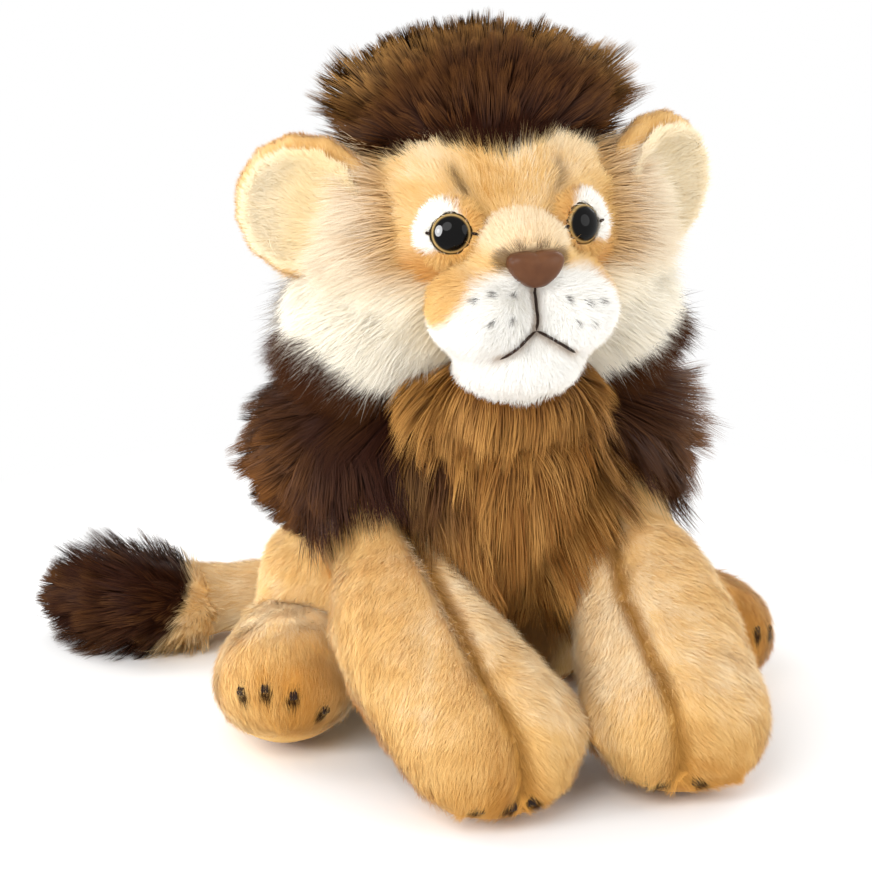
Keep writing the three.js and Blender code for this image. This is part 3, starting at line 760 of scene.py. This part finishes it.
furnish("torso_plush", "tan_plush", torso_colours, length=SHORT_LENGTH, comb=along((0, 0.15, -1)), seed=21,
        buried=0.003, **SHORT)
for side, sign in SIDES:
    leg, hind = f"{side}_foreleg", f"{side}_hind_leg"
    furnish(f"{leg}_plush", "tan_plush", partial(with_toes, partial(leg_colours, sign), leg),
            length=partial(short_pile, leg), comb=partial(leg_comb, sign), seed=22 + sign, **SHORT)
    furnish(f"{hind}_plush", "tan_plush", partial(with_toes, hind_colours, hind),
            length=partial(short_pile, hind), comb=away_from(mm(sign * 62, 20, 45), (0, 0, -0.2)),
            seed=32 + sign, buried=0.002, **{**SHORT, "lift": 0.2})


def tail_comb(root, normal):
    return mix(TAIL_END - TAIL_BEND, TAIL_BEND - TAIL_ROOT, smooth(-0.045, -0.01, root[:, 0]))


# The tail's pile is paler than the body's, partly as painted light against the torso's shadow on it.
furnish("tail_plush", "tan_plush", partial(golden, pale=0.35), length=SHORT_LENGTH, comb=tail_comb, seed=41,
        **SHORT)
LONG = dict(density=230, width=0.00032, segments=3, spread=0.09, sway=0.2, clump=0.40, lock=34, jag=0.32,
            buried=0.003, look=LONG_PILE)


def tuft_edge(root):
    """Across the tail, for where its tuft starts."""
    return root[:, 0] - 0.5 * (root[:, 2] - 0.016)


def tuft_hair(root, luck):
    start = smooth(-0.096, -0.092, tuft_edge(root) + 0.004 * (luck - 0.5))
    return over(dark(root, luck), *golden(root, luck, 0.4), start)


def tuft_proud(root):
    return -0.003 + 0.010 * smooth(-0.138, -0.112, root[:, 0])


furnish("tuft_base", "dark_mane", tuft_hair, length=graded(0.007, 0.027, -0.090, -0.097, tuft_edge),
        comb=away_from(TAIL_END + mm(12, 0, 0), (-0.5, 0.1, 0.05)), lift=0.45, stand=True, proud=tuft_proud,
        seed=42, **LONG)


# Pile of the face

BROW = mm((17.5, 0, 194), (15, 0, 189), (12, 0, 182))


def face_comb(root, normal):
    wide = np.sign(root[:, 0]) * smooth(0.02, 0.05, wide_of(root))
    return unit(root - NOSE) + level(root, 0.4 * wide, 0, 0.1)


def folded(root):
    """Both sides on one, seen from the front."""
    return np.abs(root[:, :1]) * (1, 0, 0) + root * (0, 0, 1)


def part_gaps(root, line):
    """Distances from the upper and the lower part of a line that both sides of the face have."""
    return [segment_gap(folded(root), *ends) for ends in (line[:2], line[1:])]


def over_hairline(root):
    """The height over the line where the mane starts on the brow."""
    line = np.interp(wide_of(root), mm(0, 7, 20, 28, 38, 46), mm(198.5, 200.5, 203, 201, 195, 188))
    return root[:, 2] - line


def face_colours(root, luck):
    wide, rise = wide_of(root), root[:, 2]
    cloud = 0.18 * ripple(root, 0.018, 8)
    bump = 0.35 * np.exp(-(((wide - 0.024) / 0.012) ** 2) - ((rise - 0.200) / 0.010) ** 2)
    middle = smooth(0.018, 0.008, wide) * smooth(0.182, 0.190, rise)
    hair = golden(root, luck, 0.15 + cloud + bump + middle * (0.9 * (luck - 0.5) - 0.25))
    hair = over(hair, RUST, RUST, 0.8 * smooth(0.178, 0.162, rise) * smooth(0.014, 0.024, wide))
    # A deeper gold band down each side of the face, where the long side hair starts, is painted shade.
    hair = over(hair, DEEP_GOLD * 0.9, DEEP_GOLD, 0.6 * np.exp(-(((wide - 0.046) / 0.007) ** 2)))
    upper, lower = part_gaps(root, BROW)
    # Painted shade along each brow line; the dark stroke on its upper part follows.
    brow_shade = 0.5 * np.exp(-((np.minimum(upper, lower) / 0.003) ** 2))
    hair = over(hair, DEEP_GOLD * 0.6, DEEP_GOLD * 0.8, brow_shade)
    hair = over(hair, DARK, DARK, np.where(root[:, 0] < 0, 0.6, 0.35) * np.exp(-((upper / 0.0011) ** 2)))
    hair = over(hair, WARM_CREAM, CREAM, smooth(0.164, 0.154, rise) * smooth(0.018, 0.028, wide))
    return over(hair, DARK_ROOT, DARK, smooth(-0.001, 0.001, over_hairline(root) + 0.002 * (luck - 0.5)))


VELVET = dict(width=0.00022, segments=1, clump=0.15)
furnish("head_plush", "tan_plush", face_colours, density=850, comb=face_comb, lift=0.45, sway=0.35, lock=12,
        length=graded(0.0060, 0.007, -0.001, 0.002, over_hairline), buried=0.003, seed=51, **VELVET)


# Long pale hair round the face, from its edge over the front of the ears

def disc_weight(points, normals):
    wide = np.abs(points[:, 0])
    low = smooth(0.170, 0.150, points[:, 2])
    front = smooth(-0.008, 0, points[:, 1] + 0.042 + 0.008 * low) * smooth(0.006, -0.004, points[:, 1])
    inside = (points[:, 2] > 0.134) * (points[:, 2] < 0.208)
    return smooth(0.035, 0.043, wide + 0.022 * low) * front * inside


def disc_comb(root, normal):
    return level(root, np.sign(root[:, 0]), 0.10, 14 * (root[:, 2] - 0.182))


def pale_hair(root, luck):
    """Brown roots beside the eyes, darkened partly as painted shade along the face's edge, and cream at the
    tips, further out and below the eyes.
    """
    out = smooth(0.051, 0.062, wide_of(root) + 0.004 * (luck - 0.5))
    pale = np.maximum(out, smooth(0.168, 0.156, root[:, 2]))
    hair = mix(DEEP_GOLD * 0.8, GOLD, 0.1 + 0.3 * luck), mix(PALE_GOLD, CREAM, 0.3 + 0.4 * luck)
    return over(hair, WARM_CREAM, CREAM, pale)


disc = grow("face_disc_pile", forms["head_plush"], PIECES["head_plush"][1], density=2000, width=0.00020,
            length=graded(0.013, 0.007, 0.150, 0.170, rise_of), comb=disc_comb, colours=pale_hair,
            lift=0.24, stand=True, droop=0.10, spread=0.14, clump=0.08, lock=14, fade=1.9, jag=0.15,
            buried=0.002, weight=disc_weight, seed=53)
attach(disc, "head")

# Muzzle

MOUTH = mm((0, 0, 164), (0, 0, 149), (13, 0, 141))
DOTS = {1: [(9.5, 159.8), (15.2, 158.8), (20.2, 158.6), (11.3, 153.4), (16.6, 152.6)],
        -1: [(7.4, 162), (14, 162.4), (19.8, 161.2), (9.2, 156), (15.8, 155)]}
WHITE_WIDE = mm(0, 9, 19, 25.5, 30)
WHITE_TOP = {1: mm(169, 167.2, 165.4, 160.5, 153), -1: mm(169, 166.8, 163.8, 156.8, 149.2)}


def mouth_gap(root):
    return np.minimum(*part_gaps(root, MOUTH))


def muzzle_colours(root, luck):
    wide, rise = wide_of(root), root[:, 2]
    edge = np.where(root[:, 0] > 0, *(np.interp(wide, WHITE_WIDE, WHITE_TOP[sign]) for sign in (1, -1)))
    gold = smooth(-0.001, 0.003, rise - edge + 0.002 * (luck - 0.5))
    tan_hair = golden(root, luck, 0.1 - 0.35 * smooth(0.014, 0.024, wide))
    low, high = over(white(root, luck), *tan_hair, gold)
    top = gold * smooth(0.170, 0.176, rise) * smooth(0.018, 0.012, wide)
    hair = mix(low, WARM_CREAM, 0.5 * top), mix(high, CREAM, 0.55 * top)
    shade = 0.6 * np.exp(-((mouth_gap(root) / 0.0018) ** 2)) * (1 - gold)
    low, high = over(hair, DEEP_GOLD * 0.4, DEEP_GOLD * 0.5, shade)
    for sign, spots in DOTS.items():
        for x, z in spots:
            away = np.hypot(root[:, 0] - sign * x * MM, rise - z * MM)
            mark = smooth(0.0011, 0.0006, away) * (root[:, 1] < -0.05)
            low, high = mix(low, THREAD, mark * 0.85), mix(high, DARK, mark * 0.75)
    # Painted shade in the gap along the nose's top edge, as dark brown roots round it.
    rim = smooth(1.12, 0.95, np.hypot(root[:, 0] / 0.0104, (rise - NOSE[2]) / 0.0054)) * gold
    return mix(low, BROWN_ROOT, 0.8 * rim), mix(high, BROWN_ROOT, 0.7 * rim)


def muzzle_length(root):
    return 0.0050 * (0.3 + 0.7 * smooth(0.0006, 0.004, mouth_gap(root)))


furnish("muzzle_plush", "white_plush", muzzle_colours, density=900, length=muzzle_length,
        comb=away_from(mm(0, -66, 166), (0, 0.2, -0.1)), lift=0.6, lock=12, sway=0.3, buried=0.004, seed=54,
        **VELVET)

# Eye patches, ears and cheeks

def ear_cream(root, luck):
    inner = smooth(0.074, 0.060, wide_of(root)) * np.where(root[:, 0] < 0, 1, 0.2)
    low = mix(WARM_CREAM, BUTTER, 0.3 + 0.5 * inner)
    return low, mix(mix(CREAM, WARM_CREAM, 0.6 * luck), BUTTER, 0.1 + 0.4 * inner)


def patch_colours(sign, root, luck):
    """White pile over and outside the eye, golden elsewhere."""
    place = eye_frame(sign)[0]
    out = ((root[:, 0] - place[0]) * sign - 0.0056) / 0.0090
    up = (root[:, 2] - place[2] - 0.0030) / 0.0080
    plain = smooth(0.85, 1.15, np.hypot(out, up) + 0.2 * (luck - 0.5))
    return over(white(root, luck), *golden(root, luck, -0.35), plain)


def cheek_mane(root):
    """Where the dark mane shows behind and below a cheek."""
    slant = root[:, 2] - 0.74 * wide_of(root) - 0.0975
    return np.maximum(smooth(0.0015, -0.0015, slant), smooth(-0.004, 0.002, root[:, 1]))


def cheek_hair(root, luck):
    low, high = dark(root, luck)
    pale = mix(WARM_CREAM, CREAM, 0.3 + 0.5 * luck), mix(CREAM, WHITE, luck * 0.5)
    return over(pale, low, mix(high, DARK, 0.5), cheek_mane(root))


def by_mane(pale, more):
    """A value for a cheek's pale hair, and how much more it is in its mane."""
    return lambda root: pale + more * cheek_mane(root)


for side, sign in SIDES:
    furnish(f"{side}_patch_plush", "white_plush", partial(patch_colours, sign), density=900, length=0.0040,
            comb=away_from(eye_frame(sign)[0]), lift=0.55, buried=0.002, seed=57 + sign, **VELVET)
    furnish(f"{side}_ear_cup", "tan_plush", partial(golden, pale=0.05), density=700, length=0.0070,
            comb=away_from(mm(sign * 44, -8, 168)), lift=0.6, buried=0.001, proud=0.0030, seed=60 + sign,
            **{**VELVET, "width": 0.00024})
    furnish(f"{side}_ear_dish", "cream_plush", ear_cream, density=750, width=0.00025, length=0.016,
            comb=away_from(mm(sign * 40, -8, 168)), lift=0.5, spread=0.22, buried=0.001, clump=0.12,
            proud=0.005, facing=(-0.8, -2.4, 1.0), seed=63 + sign)
    furnish(f"{side}_cheek_base", "cream_plush", cheek_hair, density=900, width=0.00022,
            length=by_mane(0.017, 0.008), comb=along((sign * 1.0, 0.15, -0.45)), lift=by_mane(0.40, 0.65),
            droop=0.12, spread=0.22, sway=0.3, clump=0.12, lock=16, proud=by_mane(0.009, 0.005), jag=0.2,
            buried=0.002, facing=(-0.3, -0.7, 0.5), seed=66 + sign)

# Mane

CREST_HEART = mm(0, 0, 185)
FLAT = np.array([1, 0, 1])


def crest_comb(root, normal):
    """Fanned out from the brow."""
    return unit((root - CREST_HEART) * FLAT) + level(root, 0, -0.05, 0)


def crest_hair(root, luck):
    """Dark, with pale tips along the outline."""
    low, high = dark(root, luck)
    outer = smooth(0.036, 0.052, np.linalg.norm((root - CREST_HEART) * FLAT, axis=1))
    return low, mix(high, mix(BROWN, BROWN_TIP, outer), (0.15 + 0.75 * luck) * (0.35 + 0.65 * outer))


def ruff_hair(root, luck):
    low, high = brown(root, luck)
    return low, mix(high, BROWN_TIP, 0.35)


def bib_comb(root, normal):
    spread = 9 * smooth(0.060, 0.080, root[:, 2]) - 8 * smooth(0.062, 0.045, root[:, 2])
    return level(root, spread * root[:, 0], -0.1, -1)


def bib_hair(root, luck):
    """Brown with golden streaks, darker at its sides."""
    outer = smooth(0.018, 0.034, wide_of(root) + 0.006 * ripple(root, 0.02, 9))
    return over(brown(root, luck), DARK_ROOT, DARK, outer * np.where(root[:, 0] < 0, 0.75, 0.35))


def collar_comb(sign, root, normal):
    """Out and down at the side, and down over the forelegs in front."""
    front = smooth(-0.008, -0.026, root[:, 1])
    high = smooth(0.100, 0.125, root[:, 2])
    lie = mix(np.array([sign * 1.0, 0.15, -0.35]), np.array([sign * 0.3, -0.35, -0.9]), front)
    return mix(lie, np.array([sign * 1.0, 0.0, 0.1]), 0.8 * high)


def collar_proud(sign, root):
    front = smooth(-0.012, -0.030, root[:, 1])
    low = smooth(0.090, 0.072, root[:, 2])
    return (0.008 + 0.003 * sign) * (1 - low) + low * (0.003 + 0.007 * front)


def collar_hair(root, luck):
    """Dark, with lighter brown tips at the shoulder."""
    low, high = dark(root, np.where(root[:, 0] < 0, 0.4, 0.9) * luck)
    outer = smooth(0.055, 0.070, wide_of(root) + 0.008 * (root[:, 0] > 0))
    return low, mix(high, BROWN, 0.8 * luck * outer)


SPIKY = {**LONG, "clump": 0.55, "lock": 40, "jag": 0.4, "buried": 0.001}


def nape_comb(root, normal):
    """Down the back of the head and out at its sides."""
    wide = np.sign(root[:, 0]) * smooth(0.020, 0.050, wide_of(root))
    return level(root, 1.4 * wide, 0.35 - 0.35 * np.abs(wide), -1 + 0.8 * np.abs(wide))


def nape_proud(root):
    return 0.004 + 0.010 * smooth(0.030, 0.050, wide_of(root)) * smooth(0.185, 0.165, root[:, 2])


NAPE_BEND = ("neck", "head", mm(0, 20, 120), mm(0, 20, 150))
RUFF_BEND = ("neck", "head", mm(0, -30, 104), mm(0, -30, 132))
furnish("crest_base", "dark_mane", crest_hair, length=0.042, comb=crest_comb, lift=0.25, stand=True,
        proud=graded(0.003, 0.006, 0.030, 0.045, wide_of), fade=1.8, seed=71,
        **{**LONG, "density": 300, "clump": 0.5, "lock": 24, "jag": 0.4})
furnish("nape_base", "dark_mane", collar_hair, length=0.040, comb=nape_comb, lift=0.4, droop=0.12,
        proud=nape_proud, bend=NAPE_BEND, seed=72, **LONG)
furnish("ruff_base", "brown_mane", ruff_hair, length=0.038, lift=0.35, droop=0.12, proud=0.010,
        comb=away_from(mm(0, -38, 152), (0, -0.1, -0.5)), bend=RUFF_BEND, seed=73, **LONG)
furnish("bib_base", "brown_mane", bib_hair, comb=bib_comb, lift=0.3, droop=0.1, proud=0.012,
        length=graded(0.042, -0.014, 0.010, 0.036, wide_of), seed=74, **{**LONG, "buried": 0.001})
furnish("cape_base", "dark_mane", dark, length=0.036, comb=along((0, 0.4, -1)), lift=0.4, droop=0.12,
        proud=0.004, seed=75, **LONG)
for side, sign in SIDES:
    furnish(f"{side}_collar_base", "dark_mane", collar_hair, lift=0.15, stand=True, droop=0.04,
            length=graded(0.020, 0.016, 0.074, 0.096, rise_of), comb=partial(collar_comb, sign),
            proud=partial(collar_proud, sign), seed=76 + sign, **SPIKY)

# Fringes of the mane that lie over the tops of the forelegs

def near_leg(side, reach):
    """Weight for the places of a form within reach of a foreleg."""
    tree = tree_of(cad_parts[f"{side}_foreleg_skin"])

    def weight(points, normals):
        gap = np.array([tree.find_nearest(Vector(p))[3] for p in points])
        return smooth(reach, 0.5 * reach, gap) * smooth(-0.014, -0.026, points[:, 1])
    return weight


FRINGE = {**LONG, "length": 0.024, "lift": 0.22, "stand": True, "droop": 0.05, "buried": 0.0005}
for side, sign in SIDES:
    for piece, name, slot, colours in (("collar", f"{side}_collar_base", "dark_mane", collar_hair),
                                       ("bib", "bib_base", "brown_mane", bib_hair)):
        fringe = grow(f"{side}_{piece}_fringe", forms[name], PIECES[name][1], colours=colours, seed=81 + sign,
                      comb=along((sign * 0.10, -0.80, -0.60)), weight=near_leg(side, 0.014), **FRINGE)
        attach(fringe, "torso")

# Hand pocket, neck and seat

PLAIN = {"hand_lining": LINING, "mouth_hem": HEM_LOOK, "neck_tube": LINING, "head_pocket": LINING,
         "seat_base": SEAT_LOOK}
for name, look in PLAIN.items():
    dress(name, look)
for side, sign in SIDES:
    at, half = SHOULDER * (sign, 1, 1), mm(0, 8, 4)
    dress(f"{side}_glove_finger", LINING,
          (f"{side}_pocket", f"{side}_foreleg", at + half, at - half))


# Stitches

def solid_of_turns(name, rings, colours=None):
    """A closed surface from rings of points, each end brought to its middle."""
    around = len(rings[0])
    points = [p for ring in rings for p in ring] + [rings[0].mean(0), rings[-1].mean(0)]
    faces = []
    for i in range(len(rings) - 1):
        for j in range(around):
            k = (j + 1) % around
            faces.append([i * around + j, i * around + k, (i + 1) * around + k, (i + 1) * around + j])
    first, last, edge = len(points) - 2, len(points) - 1, (len(rings) - 1) * around
    for j in range(around):
        k = (j + 1) % around
        faces.append([k, j, first])
        faces.append([edge + j, edge + k, last])
    mesh = bpy.data.meshes.new(name)
    mesh.from_pydata([tuple(p) for p in points], [], faces)
    form = bmesh.new()
    form.from_mesh(mesh)
    bmesh.ops.recalc_face_normals(form, faces=form.faces)
    form.to_mesh(mesh)
    form.free()
    mesh.shade_smooth()
    if colours is not None:
        tint(mesh, np.array([c for c in colours for _ in range(around)] + [colours[0], colours[-1]]))
    return mesh


def thread_rings(points, radius, sides=8):
    """Rings round a line of points, thin at both ends."""
    points = np.asarray(points)
    way = unit(np.gradient(points, axis=0))
    across = unit(np.cross(way, (0.3, 0.2, 0.93)))
    other = np.cross(way, across)
    share = np.linspace(-1, 1, len(points))
    thick = radius * np.sqrt(np.clip(1 - np.abs(share) ** 6, 0.02, 1))
    turns = np.linspace(0, 2 * np.pi, sides, endpoint=False)
    return [p + t * (np.cos(turns)[:, None] * a + np.sin(turns)[:, None] * b)
            for p, t, a, b in zip(points, thick, across, other)]


def threads(name, lines, radius, look, slot, body):
    """One piece of several short threads."""
    whole = bmesh.new()
    for line in lines:
        mesh = solid_of_turns(name, thread_rings(line, radius))
        whole.from_mesh(mesh)
        bpy.data.meshes.remove(mesh)
    mesh = bpy.data.meshes.new(name)
    whole.to_mesh(mesh)
    whole.free()
    mesh.shade_smooth()
    mesh.materials.append(look)
    attach(add_object(name, mesh), body)


def bow(place, out, way, length, rise):
    """A short stitch that bows out of the cloth."""
    t = np.linspace(-1, 1, 9)[:, None]
    return place + 0.5 * length * t * unit(way) + rise * (1 - t ** 2) * out


for body, spots in toes.items():
    lines = []
    for place, out in spots:
        down = unit(np.array([0, 0, -1.0]) + 0.2 * out)
        across = unit(np.cross(out, down))
        for shift in (-0.0008, 0, 0.0008):
            lines.append(bow(place + across * shift, out, down, 0.0030, 0.0008))
    threads(f"{body}_toe_stitches", lines, 0.0005, THREAD_LOOK, "dark_mane", body)


def on_muzzle(x, z, out):
    place, _ = landed(forms["muzzle_plush"], mm(x, -120, z), (0, 1, 0))
    return place + np.array([0, -1, 0]) * out


lips = [[on_muzzle(0, z, 0.0016) for z in np.linspace(164, 149, 12)]]
for sign in (1, -1):
    lips.append([on_muzzle(sign * 13 * t, 149 - 8 * t ** 1.2, 0.0018) for t in np.linspace(0, 1, 14)])
threads("mouth_line", lips, 0.00052, THREAD_LOOK, "dark_mane", "head")

lids = []
for _, sign in SIDES:
    place, normal = eye_frame(sign)
    inward = unit(np.cross(normal, (0, 0, 1.0))) * sign
    for shift, rise, dip, length in ((0.0078, 0.0024, -0.2, 0.0026), (-0.0075, 0.0020, -0.3, 0.0018)):
        lids.append(bow(place + inward * shift + normal * rise, normal, inward + (0, 0, dip), length, 0.0003))
threads("eye_corner_stitches", lids, 0.0005, THREAD_LOOK, "dark_mane", "head")

hem = []
for turn in np.linspace(0, 2 * np.pi, 44, endpoint=False):
    spot = mm(33.5 * math.cos(turn), 120, 65 + 24.5 * math.sin(turn))
    place, out = landed(forms["mouth_hem"], spot, (0, -1, 0))
    hem.append(bow(place, out, (-math.sin(turn) * 1.3, 0, math.cos(turn)), 0.0030, 0.0006))
threads("hem_stitches", hem, 0.0004, STITCH_LOOK, "lining_cloth", "torso")


# Eyes and nose

DOME_STEPS = np.linspace(1, 0.04, 26)
EYE_RADIUS = 0.007
NOSE_EDGE = mm(*[(0, 4.9), (4.5, 5.4), (8.8, 4.8), (10, 2.6), (8.2, -1.2), (5, -4.4), (2.2, -6.2), (0, -6.4)])
NOSE_TILT = math.radians(9)


def dome(centre, normal, outline, depth, back, power):
    """Rings of a domed disc with an outline of (across, up) points."""
    across = unit(np.cross((0, 0, 1.0), normal))
    up = np.cross(normal, across)
    edge = outline[:, :1] * across + outline[:, 1:] * up
    rings = [centre - normal * back + edge * 0.97]
    for t in DOME_STEPS:
        rings.append(centre + edge * t + normal * depth * (1 - t ** power) ** (1 / power))
    return rings


turns = np.linspace(0, 2 * np.pi, 64, endpoint=False)
for side, sign in SIDES:
    place, normal = eye_frame(sign)
    circle = EYE_RADIUS * np.stack([np.cos(turns), np.sin(turns)], 1)
    share = np.concatenate([[1.0], DOME_STEPS])
    gold = 0.85 * np.exp(-(((share - 0.87) / 0.045) ** 2))
    mesh = solid_of_turns(f"{side}_eye_ball", dome(place, normal, circle, 0.0046, 0.0006, 2),
                          mix(PUPIL, IRIS, gold))
    mesh.materials.append(EYE_LOOK)
    ball = add_object(f"{side}_eye_ball", mesh)
    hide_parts(f"{side}_eye")
    attach(ball, "head")

edge = np.concatenate([NOSE_EDGE, (NOSE_EDGE * (-1, 1))[-2:0:-1]])
bearing = np.unwrap(np.arctan2(edge[:, 0], edge[:, 1]))
radius = np.interp(turns, np.append(bearing, 2 * np.pi), np.append(np.hypot(*edge.T), np.hypot(*edge[0])))
for _ in range(3):
    radius = (np.roll(radius, 1) + 2 * radius + np.roll(radius, -1)) / 4
outline = np.stack([np.sin(turns), np.cos(turns)], 1) * radius[:, None]
front = np.array([0, -math.cos(NOSE_TILT), math.sin(NOSE_TILT)])
mesh = solid_of_turns("nose_tip", dome(NOSE - mm(0, 0, 1.5), front, outline, 0.0054, 0.001, 3))
mesh.materials.append(NOSE_LOOK)
nose = add_object("nose_tip", mesh)
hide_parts("nose")
attach(nose, "head")
for node in ("left_eye_washer", "right_eye_washer", "nose_washer"):
    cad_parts[node].data.materials.clear()
    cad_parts[node].data.materials.append(NYLON)

# Camera, floor and light

FOCAL_PIXELS = 2940
PICTURE_HEIGHT = 885
OFF_CENTRE = (57, 48.5)
FLOOR_FADE = (0.12, 0.30)


def aimed(name, data, place, target):
    """A camera or lamp that looks at a target."""
    made = add_object(name, data)
    made.location = place
    made.rotation_euler = (target - made.location).to_track_quat("-Z", "Y").to_euler()
    return made


azimuth, height = math.radians(-18.6), math.radians(17)
view = Vector((math.sin(azimuth) * math.cos(height), -math.cos(azimuth) * math.cos(height), math.sin(height)))
right = Vector((math.cos(azimuth), math.sin(azimuth), 0))
upward = view.cross(right)
fitted = Vector(mm(0, -25, 115))
aim = fitted - right * (OFF_CENTRE[0] / FOCAL_PIXELS) - upward * (OFF_CENTRE[1] / FOCAL_PIXELS)
lens = bpy.data.cameras.new("camera")
lens.lens = FOCAL_PIXELS / PICTURE_HEIGHT * lens.sensor_width
SCENE.camera = aimed("camera", lens, fitted + view, aim)


def seen_directly(tree):
    """One for rays from the camera, straight or by way of a mirror or glass."""
    path = node_of(tree, "LightPath")
    found = path.outputs["Is Camera Ray"]
    for kind in ("Is Glossy Ray", "Is Transmission Ray"):
        either = node_of(tree, "Math", "MAXIMUM")
        tree.links.new(found, either.inputs[0])
        wire(tree, path, kind, either, 1)
        found = either.outputs["Value"]
    return found


bpy.ops.mesh.primitive_plane_add(size=8)
floor = bpy.context.object
floor.name = "floor"
paper = bpy.data.materials.new("floor_paper")
paper.use_nodes = True
tree = paper.node_tree
shader = set_inputs(tree.nodes["Principled BSDF"], Base_Color=(0.93, 0.925, 0.92, 1), Roughness=0.9,
                    Specular_IOR_Level=0.05)
far = node_of(tree, "VectorMath", "LENGTH")
fade = node_of(tree, "MapRange", From_Min=FLOOR_FADE[0], From_Max=FLOOR_FADE[1])
gate = node_of(tree, "Math", "MULTIPLY")
glowing = node_of(tree, "MixShader")
wire(tree, node_of(tree, "NewGeometry"), "Position", far, 0)
wire(tree, far, "Value", fade, "Value")
wire(tree, fade, "Result", gate, 0)
tree.links.new(seen_directly(tree), gate.inputs[1])
wire(tree, gate, "Value", glowing, "Fac")
wire(tree, shader, "BSDF", glowing, 1)
wire(tree, node_of(tree, "Emission"), "Emission", glowing, 2)
wire(tree, glowing, "Shader", tree.nodes["Material Output"], "Surface")
floor.data.materials.append(paper)

world = bpy.data.worlds.new("studio")
SCENE.world = world
world.use_nodes = True
tree = world.node_tree
sky = set_inputs(tree.nodes["Background"], Color=(1, 1, 1, 1))
strength = node_of(tree, "MapRange", To_Min=0.78, To_Max=1.0)
tree.links.new(seen_directly(tree), strength.inputs["Value"])
wire(tree, strength, "Result", sky, "Strength")


LIT = Vector((0, -0.02, 0.11))


def lamp(name, place, size, power):
    light = bpy.data.lights.new(name, "AREA")
    light.shape = "DISK"
    light.size = size
    light.energy = power
    return aimed(name, light, place, LIT)


lamp("key", (-0.75, -0.9, 1.05), 0.9, 8.8)
lamp("window", (-1.2, -0.35, 0.5), 0.32, 6)
lamp("fill", (0.9, -0.9, 0.6), 0.9, 4.5)
for side, sign in SIDES:
    lamp(f"{side}_rim", (sign * 1.0, 0.7, 0.7), 0.8, 7)

# A catch light that only the eyes show
eyes = bpy.data.collections.new("eyes")
for side, _ in SIDES:
    eyes.objects.link(bpy.data.objects[f"{side}_eye_ball"])
catch = lamp("catch", (-1.05, -0.3, 0.46), 0.8, 80)
catch.light_linking.receiver_collection = eyes
catch.visible_diffuse = False

SCENE.view_settings.view_transform = "Standard"
